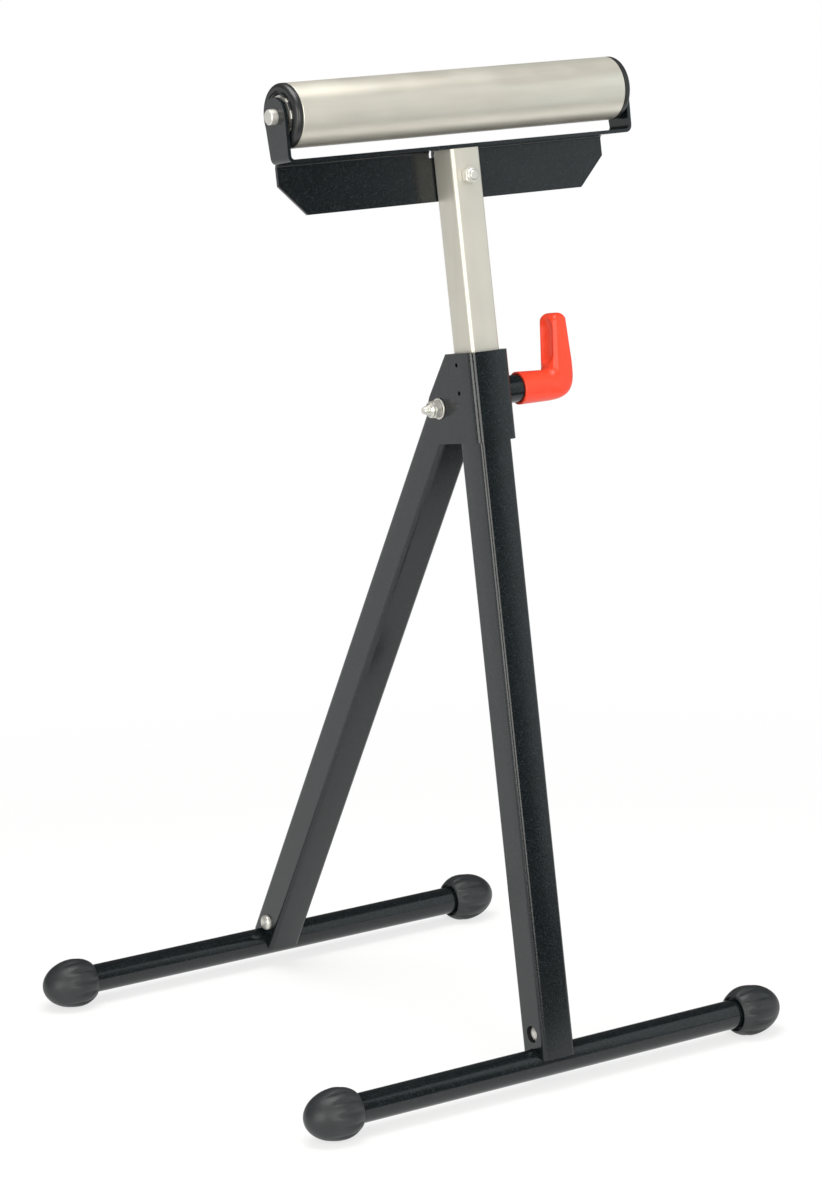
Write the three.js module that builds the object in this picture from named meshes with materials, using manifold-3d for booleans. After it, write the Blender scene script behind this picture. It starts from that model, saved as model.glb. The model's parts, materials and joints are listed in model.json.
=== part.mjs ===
// Folding roller stand: a free-turning work roller on a height-adjustable post, carried by two
// hinged square-tube legs that stand on round foot bars with rubber end caps.
// Millimetres, +Z up. X runs along the roller, -Y is the side of the front leg. The origin is on
// the floor, midway between the four feet.

import * as THREE from 'three';
import { mergeVertices } from 'three/addons/utils/BufferGeometryUtils.js';
import loadManifold from 'manifold-3d';

const wasm = await loadManifold();
wasm.setup();

// Clearances
const seatGap = 0.3;
const runGap = 0.2;
const pressGap = 0.15;

// Legs, square steel tube. Heights on a leg are measured along it from its foot bar's axis.
const legSide = 32;
const legWall = 1.5;
const legCorner = 4;
const legSkirt = 4;
const frontLegLean = 8.4;
const frontLegTop = 602;
const stanceDepth = 436;

// Pivot of the rear leg, behind the front leg
const pivotDrop = 45;
const pivotBehindLeg = 18.5;
const pivotOffset = 3;
const rearLegNose = 22;
const pivotBoltRadius = 5;
const pivotBoltTail = 6;
const pivotTaperDepth = 2.4;
const pivotTaperLength = 6;
const pivotHeadWidth = 14;
const pivotHeadHeight = 5.3;
const pivotNutHeight = 8.5;
const pivotNutHex = 5.5;
const pivotNutRingRadius = 6.6;
const pivotWasherRadius = 8.9;
const pivotWasherThickness = 1.6;

// Collar, a folded channel around the top of the front leg
const collarSheet = 3;
const collarBend = 6;
const collarHeight = 75;
const cheekGap = 0.8;
const cheekLobeRadius = 17;
const cheekShoulderReach = 2;
const cheekHeelReach = 4.5;
const weldHoleRadius = 1.8;
const weldHoleSetback = 3;
const weldHoleDrops = [9.5, 33];

// Clamp on the right cheek
const clampDrop = 35;
const bossRadius = 11.6;
const bossLength = 24;
const screwRadius = 5;
const screwEngagement = 18;
const handleWall = 2;
const handleOverlap = 7.1;
const handleSocketDepth = 9;
const handleGripReach = 30.8;
const handleGripWidth = 23;
const handleGripBase = 22.7;
const handleGripTip = 14.2;
const handleGripSplay = 5.5;
const handleGripHeight = 59;
const handleTipRadius = 6.5;
const handleElbowLength = 29;
const handleElbowRise = 31;
const handleElbowSquareness = 3.4;
const handleNeckDrop = 1.5;
const handleCornerFillet = 3;
const handleSquareness = 4.2;
const fingerGrooveRadius = 10;
const fingerGrooveDepth = 4.5;
const fingerGrooveLow = 25;
const fingerGrooveHigh = 45.5;

// Post, square steel tube sliding in the front leg
const postClearance = 0.2;
const postWall = 1.5;
const postCorner = 3.2;
const postLength = 570;

// Roller and its end bearings
const rollerRise = 207;
const rollerRadius = 26.6;
const rollerWall = 2;
const rollerLength = 322;
const plugLength = 16;
const capRimLength = 2.6;
const capCorner = 3.4;
const capNoseRise = 0.7;
const capNoseWall = 1.85;
const capGrooveWidth = 1.6;
const capGrooveDepth = 1.4;
const capFingerCount = 8;
const capSlotWidth = 7;
const capSlotDepth = 2.6;
const capShoulderReach = 3;
const capShoulderLength = 3;
const bearingRadius = 17;
const bearingWidth = 10;
const bearingInset = 1.1;
const outerRaceThickness = 3.1;
const innerRaceThickness = 4;
const ballRadius = 2.4;
const ballCount = 8;
const cageThickness = 1.3;
const cageWidth = 2;
const axleRadius = 6.35;
const axleProud = 6.2;
const axleChamfer = 0.8;

// Roller bracket, folded sheet: strap, two ears and an apron bolted to the back of the post
const bracketSheet = 3;
const bracketBend = 6;
const strapDrop = 9;
const strapLip = 0.3;
const strapEndInset = 1.8;
const earGap = 1.3;
const earTopRadius = 15.5;
const earTaperStart = 2.5;
const apronDepth = 42;
const apronEndGap = 6.3;
const apronShift = -3;
const apronChamfer = 25;
const reliefOverlap = 1;
const reliefReach = 3;
const reliefDepth = 5.5;
const headBoltDrop = 23.2;
const headBoltRadius = 4;
const headBoltTail = 1.3;
const headBoltChamfer = 0.8;
const headBoltWidth = 13;
const headBoltHeight = 5.3;
const headNutHeight = 8;
const headNutHex = 6;
const headNutRingRadius = 5.6;

// Foot bars, round steel tube, and the rubber caps on their ends
const barRadius = 12.7;
const barWall = 1.5;
const barLength = 476;
const footRadius = 22;
const footTip = 7.2;
const footNose = 31.5;
const footLength = 47.5;
const footMouthGap = 2.2;
const footRimWall = 2.7;
const footMouthDepth = 5;

// Spigots that carry the legs on the foot bars, and their spring buttons
const spigotWall = 2;
const spigotLength = 57;
const buttonRise = 12.8;
const buttonRadius = 6.9;
const buttonHoleRadius = 7.2;
const buttonProud = 5;
const buttonDome = 3.5;
const leafThickness = 1.2;
const leafWidth = 12;
const leafDrop = 8;
const leafRise = 22;
const frontButtonRecess = 6.5;

// Facet counts
const bigSteps = 48;
const rodSteps = 28;
const footSteps = 28;
const ringSteps = 6;
const smallSteps = 14;
const ballSteps = 8;
const handleSteps = 28;
const bendSteps = 5;
const leastCorner = 0.2;

// Materials
const finish = (color, roughness, metalness) => ({ color, roughness, metalness });
const blackPaint = finish(0x24282a, 0.45, 0.2);
const blackPlastic = finish(0x2b2e30, 0.6, 0);
const blackRubber = finish(0x2a2d2f, 0.8, 0);
const redPlastic = finish(0xee5a40, 0.5, 0);
const brightSteel = finish(0xd9d7d0, 0.35, 1);
const zincSteel = finish(0xe2e2dd, 0.3, 1);

// A closed solid from a three.js geometry: shared corners merged, slivers of no area dropped.
function solid(geometry) {
  const bare = geometry.clone();
  bare.deleteAttribute('normal');
  bare.deleteAttribute('uv');
  const merged = mergeVertices(bare, 1e-4);
  const corners = merged.index.array;
  const triangles = [];
  for (let i = 0; i < corners.length; i += 3) {
    const [a, b, c] = [corners[i], corners[i + 1], corners[i + 2]];
    if (a !== b && b !== c && c !== a) triangles.push(a, b, c);
  }
  const mesh = new wasm.Mesh({
    numProp: 3,
    vertProperties: new Float32Array(merged.attributes.position.array),
    triVerts: new Uint32Array(triangles),
  });
  return new wasm.Manifold(mesh);
}

function piece(name, body, { color, roughness, metalness }) {
  const { vertProperties, triVerts } = body.getMesh();
  const geometry = new THREE.BufferGeometry();
  geometry.setAttribute('position', new THREE.BufferAttribute(vertProperties, 3));
  geometry.setIndex(new THREE.BufferAttribute(triVerts, 1));
  geometry.computeVertexNormals();
  const mesh = new THREE.Mesh(geometry, new THREE.MeshStandardMaterial({ color, roughness, metalness }));
  mesh.name = name;
  return mesh;
}

function groupOf(...children) {
  const group = new THREE.Group();
  group.add(...children);
  return group;
}

// A rod along X, and the same rod carried to a point of its frame
function rod(radius, from, to, steps = rodSteps) {
  const geometry = new THREE.CylinderGeometry(radius, radius, to - from, steps);
  return geometry.rotateZ(Math.PI / 2).translate((from + to) / 2, 0, 0);
}

function rodAt(y, z, radius, from, to, steps = rodSteps) {
  return solid(rod(radius, from, to, steps).translate(0, y, z));
}

// A turned body about X from its profile of [radius, x] points
function turned(profile, steps) {
  const points = profile.map(([radius, x]) => new THREE.Vector2(radius, x));
  return solid(new THREE.LatheGeometry(points, steps).rotateZ(-Math.PI / 2));
}

function turnedRing(inner, outer, from, to, steps = rodSteps) {
  return turned([[outer, from], [outer, to], [inner, to], [inner, from], [outer, from]], steps);
}

function box(x, y, z) {
  const geometry = new THREE.BoxGeometry(x[1] - x[0], y[1] - y[0], z[1] - z[0]);
  return geometry.translate((x[0] + x[1]) / 2, (y[0] + y[1]) / 2, (z[0] + z[1]) / 2);
}

function roundedSquare(side, radius) {
  const edge = side / 2;
  const arc = edge - radius;
  const shape = new THREE.Shape();
  shape.absarc(arc, arc, radius, 0, Math.PI / 2);
  shape.absarc(-arc, arc, radius, Math.PI / 2, Math.PI);
  shape.absarc(-arc, -arc, radius, Math.PI, 1.5 * Math.PI);
  shape.absarc(arc, -arc, radius, 1.5 * Math.PI, 2 * Math.PI);
  return shape;
}

function extruded(shape, depth) {
  return new THREE.ExtrudeGeometry(shape, { depth, bevelEnabled: false, curveSegments: bendSteps });
}

function squareTube(side, wall, corner, low, high) {
  const shape = roundedSquare(side, corner);
  shape.holes.push(roundedSquare(side - 2 * wall, Math.max(corner - wall, leastCorner)));
  return solid(extruded(shape, high - low).translate(0, 0, low));
}

// An outline in Y and Z carried along X, and one in X and Z carried along Y
function alongX(shape, from, to) {
  const axes = new THREE.Matrix4().makeBasis(
    new THREE.Vector3(0, 1, 0), new THREE.Vector3(0, 0, 1), new THREE.Vector3(1, 0, 0));
  return solid(extruded(shape, to - from).translate(0, 0, from).applyMatrix4(axes));
}

function alongY(shape, from, to) {
  return solid(extruded(shape, to - from).translate(0, 0, -to).rotateX(Math.PI / 2));
}

// A folded channel: a web on the low side and two flanges that reach up, with round bends
function channel(outerHalf, sheet, webLow, reach, bend) {
  const innerHalf = outerHalf - sheet;
  const innerBend = bend - sheet;
  const bendLine = webLow + bend;
  const shape = new THREE.Shape();
  shape.moveTo(outerHalf, reach);
  shape.lineTo(innerHalf, reach);
  shape.absarc(outerHalf - bend, bendLine, innerBend, 0, -Math.PI / 2, true);
  shape.absarc(bend - outerHalf, bendLine, innerBend, -Math.PI / 2, -Math.PI, true);
  shape.lineTo(-innerHalf, reach);
  shape.lineTo(-outerHalf, reach);
  shape.absarc(bend - outerHalf, bendLine, bend, Math.PI, 1.5 * Math.PI);
  shape.absarc(outerHalf - bend, bendLine, bend, -Math.PI / 2, 0);
  return shape;
}

// The angle at which a line from a point touches a circle: side 1 turns on, side -1 turns back
function touchAngle(y, z, centreY, centreZ, radius, side) {
  const away = Math.hypot(y - centreY, z - centreZ);
  return Math.atan2(z - centreZ, y - centreY) + side * Math.acos(radius / away);
}

// Half an ellipse's width at a distance from its widest place
const swell = (radius, reach, away) => radius * Math.sqrt(Math.max(0, 1 - (away / reach) ** 2));

// Places that follow from the sizes above
const pivotHeight = frontLegTop - pivotDrop;
const pivotSetback = legSide / 2 + pivotBehindLeg;
const clampHeight = frontLegTop - clampDrop;
const postSide = legSide - 2 * legWall - 2 * postClearance;
const rollerHeight = frontLegTop + rollerRise;
const buttonHeight = barRadius + buttonRise;
const acrossCorners = (flats) => flats / 2 / Math.cos(Math.PI / 6);

// The two leaning frames. The rear leg's lean follows from where the pivot and the bars are.
const lean = THREE.MathUtils.degToRad(frontLegLean);
const legFrame = new THREE.Group();
legFrame.position.set(0, -stanceDepth / 2, footRadius);
legFrame.rotation.x = -lean;

const pivotY = pivotHeight * Math.sin(lean) + pivotSetback * Math.cos(lean) - stanceDepth;
const pivotZ = pivotHeight * Math.cos(lean) - pivotSetback * Math.sin(lean);
const pivotReach = Math.hypot(pivotY, pivotZ);
const rearLean = Math.atan2(-pivotY, pivotZ) - Math.asin(pivotOffset / pivotReach);
const pivotAlong = Math.sqrt(pivotReach ** 2 - pivotOffset ** 2);
const rearFrame = new THREE.Group();
rearFrame.position.set(0, stanceDepth / 2, footRadius);
rearFrame.rotation.x = rearLean;
legFrame.updateMatrix();
rearFrame.updateMatrix();

// Leg tubes: the side walls are notched over the foot bar, the front and back walls run past it
const barSeat = () => rodAt(0, 0, barRadius + seatGap, -legSide, legSide);
const leftWallHole = (height, radius) => rodAt(0, height, radius, -legSide, 0);

function legTube(top) {
  return squareTube(legSide, legWall, legCorner, legSkirt, top)
    .subtract(barSeat())
    .subtract(leftWallHole(buttonHeight, buttonHoleRadius));
}

const frontLeg = legTube(frontLegTop)
  .subtract(rodAt(0, clampHeight, screwRadius + runGap, 0, legSide));

// The rear leg's nose is mitred to land flat on the back of the front leg
const legBack = legSide / 2 + seatGap;
const legRoom = box([-legSide, legSide], [-legSide, legBack], [0, 2 * frontLegTop]);
const toRearFrame = rearFrame.matrix.clone().invert().multiply(legFrame.matrix);
const rearLeg = legTube(pivotAlong + rearLegNose)
  .subtract(rodAt(-pivotOffset, pivotAlong, pivotBoltRadius + runGap, -legSide, legSide))
  .subtract(solid(legRoom.applyMatrix4(toRearFrame)));

// Collar: a channel whose cheeks run back to a lobe around the pivot
const cheekInner = legSide / 2 + cheekGap;
const cheekOuter = cheekInner + collarSheet;
const webFace = -legSide / 2 - seatGap - collarSheet;
const collarLow = frontLegTop - collarHeight;
const cheekShoulder = legSide / 2 + cheekShoulderReach;
const cheekHeel = pivotSetback + cheekHeelReach;

function cheekOutline() {
  const lobe = [pivotSetback, pivotHeight, cheekLobeRadius];
  const shape = new THREE.Shape();
  shape.moveTo(webFace - collarSheet, collarLow);
  shape.lineTo(cheekHeel, collarLow);
  const start = touchAngle(cheekHeel, collarLow, ...lobe, 1);
  const end = touchAngle(cheekShoulder, frontLegTop, ...lobe, -1);
  shape.absarc(...lobe, start, end);
  shape.lineTo(cheekShoulder, frontLegTop);
  shape.lineTo(webFace - collarSheet, frontLegTop);
  return shape;
}

function collarBody() {
  const cheekReach = pivotSetback + 2 * cheekLobeRadius;
  const section = channel(cheekOuter, collarSheet, webFace, cheekReach, collarBend);
  let body = solid(extruded(section, collarHeight).translate(0, 0, collarLow));
  body = body.intersect(alongX(cheekOutline(), -2 * cheekOuter, 2 * cheekOuter));
  const boltHole = pivotBoltRadius + runGap;
  body = body.subtract(rodAt(pivotSetback, pivotHeight, boltHole, -2 * cheekOuter, 2 * cheekOuter));
  body = body.subtract(rodAt(0, clampHeight, screwRadius + runGap, 0, 2 * cheekOuter));
  for (const drop of weldHoleDrops) {
    const hole = rodAt(weldHoleSetback, frontLegTop - drop, weldHoleRadius, -2 * cheekOuter, 0, smallSteps);
    body = body.subtract(hole);
  }
  return body;
}

// A bolt's shank along X, tapered at its low end
function shank(radius, taperDepth, taperLength, from, to, steps) {
  const tip = [[0, from], [radius - taperDepth, from], [radius, from + taperLength]];
  return turned([...tip, [radius, to], [0, to]], steps);
}

// A lock nut along X: a hexagon on its seat, and a round collar towards the bolt's low end
function lockNut(seat, flats, hexHeight, height, ringRadius, bore) {
  const hexEnd = seat - hexHeight;
  const hex = solid(rod(acrossCorners(flats), hexEnd, seat, 6));
  const ring = solid(rod(ringRadius, seat - height, hexEnd + seatGap));
  return hex.add(ring).subtract(solid(rod(bore, seat - 2 * height, seat + height)));
}

// Pivot bolt with its washers and lock nut, along X
const washerStart = cheekOuter + seatGap;
const washerEnd = washerStart + pivotWasherThickness;
const pivotHeadStart = washerEnd + seatGap;
const pivotNutEnd = pivotHeadStart + pivotNutHeight;

function pivotPieces() {
  const corners = acrossCorners(pivotHeadWidth);
  const head = solid(rod(corners, pivotHeadStart, pivotHeadStart + pivotHeadHeight, 6));
  const taper = [pivotTaperDepth, pivotTaperLength];
  const tail = -pivotNutEnd - pivotBoltTail;
  const bolt = head.add(shank(pivotBoltRadius, ...taper, tail, pivotHeadStart + seatGap, rodSteps));
  const bore = pivotBoltRadius + runGap;
  const nut = lockNut(
    -pivotHeadStart, pivotHeadWidth, pivotNutHex, pivotNutHeight, pivotNutRingRadius, bore);
  const washer = (from, to) => turnedRing(bore, pivotWasherRadius, from, to);
  const group = groupOf(
    piece('pivot_bolt', bolt, zincSteel),
    piece('pivot_nut', nut, zincSteel),
    piece('pivot_washer_left', washer(-washerEnd, -washerStart), zincSteel),
    piece('pivot_washer_right', washer(washerStart, washerEnd), zincSteel));
  group.position.set(0, pivotSetback, pivotHeight);
  return group;
}

// Clamp: boss welded to the right cheek, screw through it, and the moulded handle on the screw
const bossStart = cheekOuter + seatGap;
const bossEnd = bossStart + bossLength;
const handleStart = bossEnd - handleOverlap;
const socketEnd = handleStart + handleSocketDepth;
const screwEnd = socketEnd + screwEngagement;
const handleRadius = bossRadius + seatGap + handleWall;
const handleGripStart = handleStart + handleGripReach;

// A part of a circle's reach drawn out towards a square: power 2 leaves the circle
const squared = (value, power) => Math.sign(value) * Math.abs(value) ** (2 / power);

// The handle's sections from its mouth to its tip. Each has an inner and an outer edge in X and Z,
// half its depth in Y, and an exponent: 2 is an ellipse, more is squarer.
function handleSections() {
  const half = handleGripWidth / 2;
  const elbowStart = handleGripStart + handleGripBase - handleElbowLength;
  const elbowTop = handleElbowRise - handleRadius;
  const neck = handleRadius - handleNeckDrop;
  const innerX = (z) => handleGripStart + handleGripSplay * (z / handleGripHeight);
  const taper = handleGripSplay + handleGripTip - handleGripBase;
  const outerX = (z) =>
    handleGripStart + handleGripBase + taper * ((z - elbowTop) / (handleGripHeight - elbowTop));
  const sections = [[[handleStart, handleRadius], [handleStart, -handleRadius], handleRadius, 2]];
  for (let i = 0; i <= ringSteps; i += 1) {
    const share = i / ringSteps;
    const [sweep, level] = [Math.sin(share * Math.PI / 2), Math.cos(share * Math.PI / 2)];
    const inner = [
      innerX(neck) - handleCornerFillet * (1 - sweep),
      neck + handleCornerFillet * (1 - level)];
    const outer = [
      elbowStart + handleElbowLength * squared(sweep, handleElbowSquareness),
      elbowTop - handleElbowRise * squared(level, handleElbowSquareness)];
    const depth = handleRadius + (half - handleRadius) * share;
    sections.push([inner, outer, depth, 2 + (handleSquareness - 2) * share]);
  }
  const tipStart = handleGripHeight - handleTipRadius;
  for (let i = 0; i <= ringSteps; i += 1) {
    const turn = (i / (ringSteps + 1)) * Math.PI / 2;
    const inset = handleTipRadius * (1 - Math.cos(turn));
    const z = tipStart + handleTipRadius * Math.sin(turn);
    const [inner, outer] = [[innerX(z) + inset, z], [outerX(z) - inset, z]];
    sections.push([inner, outer, half - inset, handleSquareness]);
  }
  return sections;
}

// A closed body through sections, each a rounded oblong between its inner and outer edge
function lofted(sections, steps) {
  const corners = [];
  for (const [inner, outer, depth, power] of sections) {
    for (let i = 0; i < steps; i += 1) {
      const turn = (i / steps) * 2 * Math.PI;
      const across = (1 - squared(Math.cos(turn), power)) / 2;
      const [x, z] = [0, 1].map((k) => inner[k] + (outer[k] - inner[k]) * (1 - across));
      corners.push(x, depth * squared(Math.sin(turn), power), z);
    }
  }
  const last = (sections.length - 1) * steps;
  const triangles = [];
  for (let i = 0; i < last; i += 1) {
    const next = i % steps === steps - 1 ? i + 1 - steps : i + 1;
    triangles.push(i, next, i + steps, next, next + steps, i + steps);
  }
  for (let i = 1; i < steps - 1; i += 1) {
    triangles.push(0, i + 1, i, last, last + i, last + i + 1);
  }
  const geometry = new THREE.BufferGeometry();
  geometry.setAttribute('position', new THREE.Float32BufferAttribute(corners, 3));
  geometry.setIndex(triangles);
  return solid(geometry);
}

// The groove runs up the grip's inner face, which leans out with the splay
function fingerGroove() {
  const reach = fingerGrooveHigh - fingerGrooveLow;
  const groove = new THREE.CapsuleGeometry(fingerGrooveRadius, reach, ringSteps, rodSteps);
  groove.rotateX(Math.PI / 2).translate(0, 0, (fingerGrooveLow + fingerGrooveHigh) / 2);
  groove.rotateY(Math.atan2(handleGripSplay, handleGripHeight));
  return solid(groove.translate(handleGripStart + fingerGrooveDepth - fingerGrooveRadius, 0, 0));
}

function handleBody() {
  return lofted(handleSections(), handleSteps)
    .subtract(fingerGroove())
    .subtract(solid(rod(bossRadius + seatGap, 0, socketEnd)))
    .subtract(solid(rod(screwRadius + seatGap, 0, screwEnd + seatGap)));
}

function clampPieces() {
  const group = groupOf(
    piece('clamp_boss', turnedRing(screwRadius + runGap, bossRadius, bossStart, bossEnd), blackPaint),
    piece('clamp_screw', solid(rod(screwRadius, postSide / 2 + seatGap, screwEnd)), zincSteel),
    piece('clamp_handle', handleBody(), redPlastic));
  group.position.z = clampHeight;
  return group;
}

// Roller bracket: strap and ears are one channel, the apron is folded down behind the post
const capFace = rollerLength / 2 + seatGap + capRimLength + capCorner;
const capEnd = capFace + capNoseRise;
const earInner = capEnd + earGap;
const earOuter = earInner + bracketSheet;
const strapHigh = rollerHeight - rollerRadius - strapDrop;
const strapLow = strapHigh - bracketSheet;
const apronFace = postSide / 2 + seatGap;
const apronBack = apronFace + bracketSheet;
const apronLow = strapLow - apronDepth;
const bendCentreY = apronBack - bracketBend;
const bendCentreZ = strapHigh - bracketBend;
const headBoltHeightOnPost = strapLow - headBoltDrop;
const apronEnds = [apronShift - earInner + apronEndGap, apronShift + earInner - apronEndGap];
const strapFront = postSide / 2 + strapLip;
const strapEndBack = postSide / 2 - strapEndInset;

function earOutline() {
  const top = [0, rollerHeight, earTopRadius];
  const taper = strapHigh + earTaperStart;
  const shape = new THREE.Shape();
  shape.moveTo(-strapFront, strapLow - bracketSheet);
  shape.lineTo(strapEndBack, strapLow - bracketSheet);
  shape.lineTo(strapEndBack, taper);
  const back = touchAngle(strapEndBack, taper, ...top, 1);
  const front = touchAngle(-strapFront, taper, ...top, -1);
  shape.absarc(...top, back, front);
  shape.lineTo(-strapFront, taper);
  return shape;
}

function apronSection() {
  const innerBend = bracketBend - bracketSheet;
  const shape = new THREE.Shape();
  shape.moveTo(bendCentreY - bracketSheet, strapLow);
  shape.absarc(bendCentreY, bendCentreZ, innerBend, Math.PI / 2, 0, true);
  shape.lineTo(apronFace, apronLow);
  shape.lineTo(apronBack, apronLow);
  shape.absarc(bendCentreY, bendCentreZ, bracketBend, 0, Math.PI / 2);
  shape.lineTo(bendCentreY - bracketSheet, strapHigh);
  return shape;
}

function apronOutline() {
  const shape = new THREE.Shape();
  const [left, right] = apronEnds;
  shape.moveTo(left + apronChamfer, apronLow);
  shape.lineTo(right - apronChamfer, apronLow);
  shape.lineTo(right, apronLow + apronChamfer);
  shape.lineTo(right, rollerHeight);
  shape.lineTo(left, rollerHeight);
  shape.lineTo(left, apronLow + apronChamfer);
  return shape;
}

function headBoltHole() {
  const hole = rod(headBoltRadius + seatGap, -2 * apronBack, 2 * apronBack, smallSteps).rotateZ(Math.PI / 2);
  return solid(hole.translate(0, 0, headBoltHeightOnPost));
}

function bracketBody() {
  const earTop = rollerHeight + 2 * earTopRadius;
  const section = channel(earOuter, bracketSheet, strapLow, earTop, bracketBend);
  const bendRoom = [bendCentreY, apronBack + bracketSheet];
  const channelBody = alongY(section, -2 * strapFront, 2 * strapFront)
    .intersect(alongX(earOutline(), -2 * earOuter, 2 * earOuter))
    .subtract(solid(box(apronEnds, bendRoom, [apronLow, strapHigh + earTaperStart])));
  const apron = alongX(apronSection(), ...apronEnds)
    .intersect(alongY(apronOutline(), -strapFront, 2 * apronBack));
  const [near, far] = [postSide / 2 - reliefOverlap, postSide / 2 + reliefReach];
  const reliefHeight = [strapLow - reliefDepth, strapHigh + earTaperStart];
  return channelBody.add(apron)
    .subtract(solid(box([-far, -near], bendRoom, reliefHeight)))
    .subtract(solid(box([near, far], bendRoom, reliefHeight)))
    .subtract(rodAt(0, rollerHeight, axleRadius + pressGap, -2 * earOuter, 2 * earOuter))
    .subtract(headBoltHole());
}

// Post with the hole for the head bolt; its back edge is cut down to clear the bracket's bend
const postTop = strapLow - seatGap;

function postBody() {
  const bendCut = box([-postSide, postSide], [bendCentreY, 2 * postSide], [bendCentreZ, rollerHeight]);
  return squareTube(postSide, postWall, postCorner, postTop - postLength, postTop)
    .subtract(solid(bendCut))
    .subtract(headBoltHole());
}

// Head bolt, built along X and turned to run from the apron (+Y) to the front of the post (-Y),
// with a flat of its hexagons on top
function headPieces() {
  const headStart = apronBack + seatGap;
  const nutSeat = -postSide / 2 - seatGap;
  const tail = nutSeat - headNutHeight - headBoltTail;
  const head = solid(rod(acrossCorners(headBoltWidth), headStart, headStart + headBoltHeight, 6));
  const chamfer = [headBoltChamfer, headBoltChamfer];
  const bolt = head.add(shank(headBoltRadius, ...chamfer, tail, headStart + seatGap, smallSteps));
  const bore = headBoltRadius + runGap;
  const nut = lockNut(nutSeat, headBoltWidth, headNutHex, headNutHeight, headNutRingRadius, bore);
  const group = groupOf(
    piece('head_bolt', bolt, zincSteel),
    piece('head_nut', nut, zincSteel));
  group.rotation.z = Math.PI / 2;
  group.rotateX(Math.PI / 6);
  group.position.z = headBoltHeightOnPost;
  return group;
}

// One end of the roller, built for +X: plug-in cap with fingers around a ball bearing on the axle
const tubeBore = rollerRadius - rollerWall;
const pocketRadius = bearingRadius + pressGap;
const capNoseRadius = pocketRadius + capNoseWall;
const capShoulderRadius = bearingRadius - capShoulderReach;
const bearingEnd = capEnd - bearingInset;
const bearingStart = bearingEnd - bearingWidth;
const bearingMiddle = (bearingStart + bearingEnd) / 2;
const raceBore = axleRadius + pressGap;
const innerRaceRadius = raceBore + innerRaceThickness;
const outerRaceBore = bearingRadius - outerRaceThickness;
const ballPitch = (innerRaceRadius + outerRaceBore) / 2;

function endCapBody() {
  const rimStart = rollerLength / 2 + seatGap;
  const rimEnd = rimStart + capRimLength;
  const plugStart = rollerLength / 2 - plugLength;
  const shoulder = bearingStart - seatGap;
  const plugRadius = tubeBore - pressGap;
  const profile = [[plugRadius, plugStart], [plugRadius, rimStart], [rollerRadius, rimStart]];
  for (let i = 0; i <= ringSteps; i += 1) {
    const turn = (i / ringSteps) * Math.PI / 2;
    const radius = rollerRadius - capCorner + capCorner * Math.cos(turn);
    profile.push([radius, rimEnd + capCorner * Math.sin(turn)]);
  }
  profile.push(
    [capNoseRadius + capGrooveWidth, capFace],
    [capNoseRadius + capGrooveWidth, capFace - capGrooveDepth],
    [capNoseRadius, capFace - capGrooveDepth],
    [capNoseRadius, capEnd],
    [pocketRadius, capEnd],
    [pocketRadius, shoulder],
    [capShoulderRadius, shoulder],
    [capShoulderRadius, shoulder - capShoulderLength],
    [pocketRadius, plugStart],
    [plugRadius, plugStart]);
  const slotHeight = [capEnd - capSlotDepth, 2 * capEnd];
  const slotReach = [0, capNoseRadius + capGrooveWidth / 2];
  let body = turned(profile, bigSteps);
  for (let i = 0; i < capFingerCount; i += 1) {
    const slot = box(slotHeight, [-capSlotWidth / 2, capSlotWidth / 2], slotReach);
    body = body.subtract(solid(slot.rotateX((i / capFingerCount) * 2 * Math.PI)));
  }
  return body;
}

function raceGroove() {
  const groove = new THREE.TorusGeometry(ballPitch, ballRadius + pressGap, smallSteps, rodSteps);
  return solid(groove.rotateY(Math.PI / 2).translate(bearingMiddle, 0, 0));
}

function ballCage() {
  const half = cageWidth / 2;
  const edge = cageThickness / 2;
  let body = turnedRing(ballPitch - edge, ballPitch + edge, bearingMiddle - half, bearingMiddle + half);
  for (let i = 0; i < ballCount; i += 1) {
    const ball = new THREE.SphereGeometry(ballRadius, ballSteps, ballSteps - 2);
    ball.translate(bearingMiddle, 0, ballPitch).rotateX((i / ballCount) * 2 * Math.PI);
    body = body.add(solid(ball));
  }
  return body;
}

function rollerEnd(side) {
  const outerRace = turnedRing(outerRaceBore, bearingRadius, bearingStart, bearingEnd);
  const innerRace = turnedRing(raceBore, innerRaceRadius, bearingStart, earInner - seatGap);
  const group = groupOf(
    piece(`roller_end_cap_${side}`, endCapBody(), blackPlastic),
    piece(`bearing_outer_race_${side}`, outerRace.subtract(raceGroove()), zincSteel),
    piece(`bearing_ball_cage_${side}`, ballCage(), zincSteel),
    piece(`bearing_inner_race_${side}`, innerRace.subtract(raceGroove()), zincSteel));
  group.rotation.z = side === 'left' ? Math.PI : 0;
  return group;
}

function rollerPieces() {
  const half = rollerLength / 2;
  const axleEnd = earOuter + axleProud;
  const axle = turned([
    [0, -axleEnd],
    [axleRadius - axleChamfer, -axleEnd],
    [axleRadius, axleChamfer - axleEnd],
    [axleRadius, axleEnd - axleChamfer],
    [axleRadius - axleChamfer, axleEnd],
    [0, axleEnd],
  ], rodSteps);
  const group = groupOf(
    piece('roller_tube', turnedRing(tubeBore, rollerRadius, -half, half, bigSteps), brightSteel),
    piece('roller_axle', axle, zincSteel),
    rollerEnd('left'),
    rollerEnd('right'));
  group.position.z = rollerHeight;
  return group;
}

// Spigot welded on a foot bar, standing up inside the leg
const spigotSide = legSide - 2 * legWall - 2 * seatGap;

function spigotBody() {
  return squareTube(spigotSide, spigotWall, legCorner - legWall, legSkirt, barRadius + spigotLength)
    .subtract(barSeat())
    .subtract(leftWallHole(buttonHeight, buttonRadius + seatGap));
}

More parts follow.
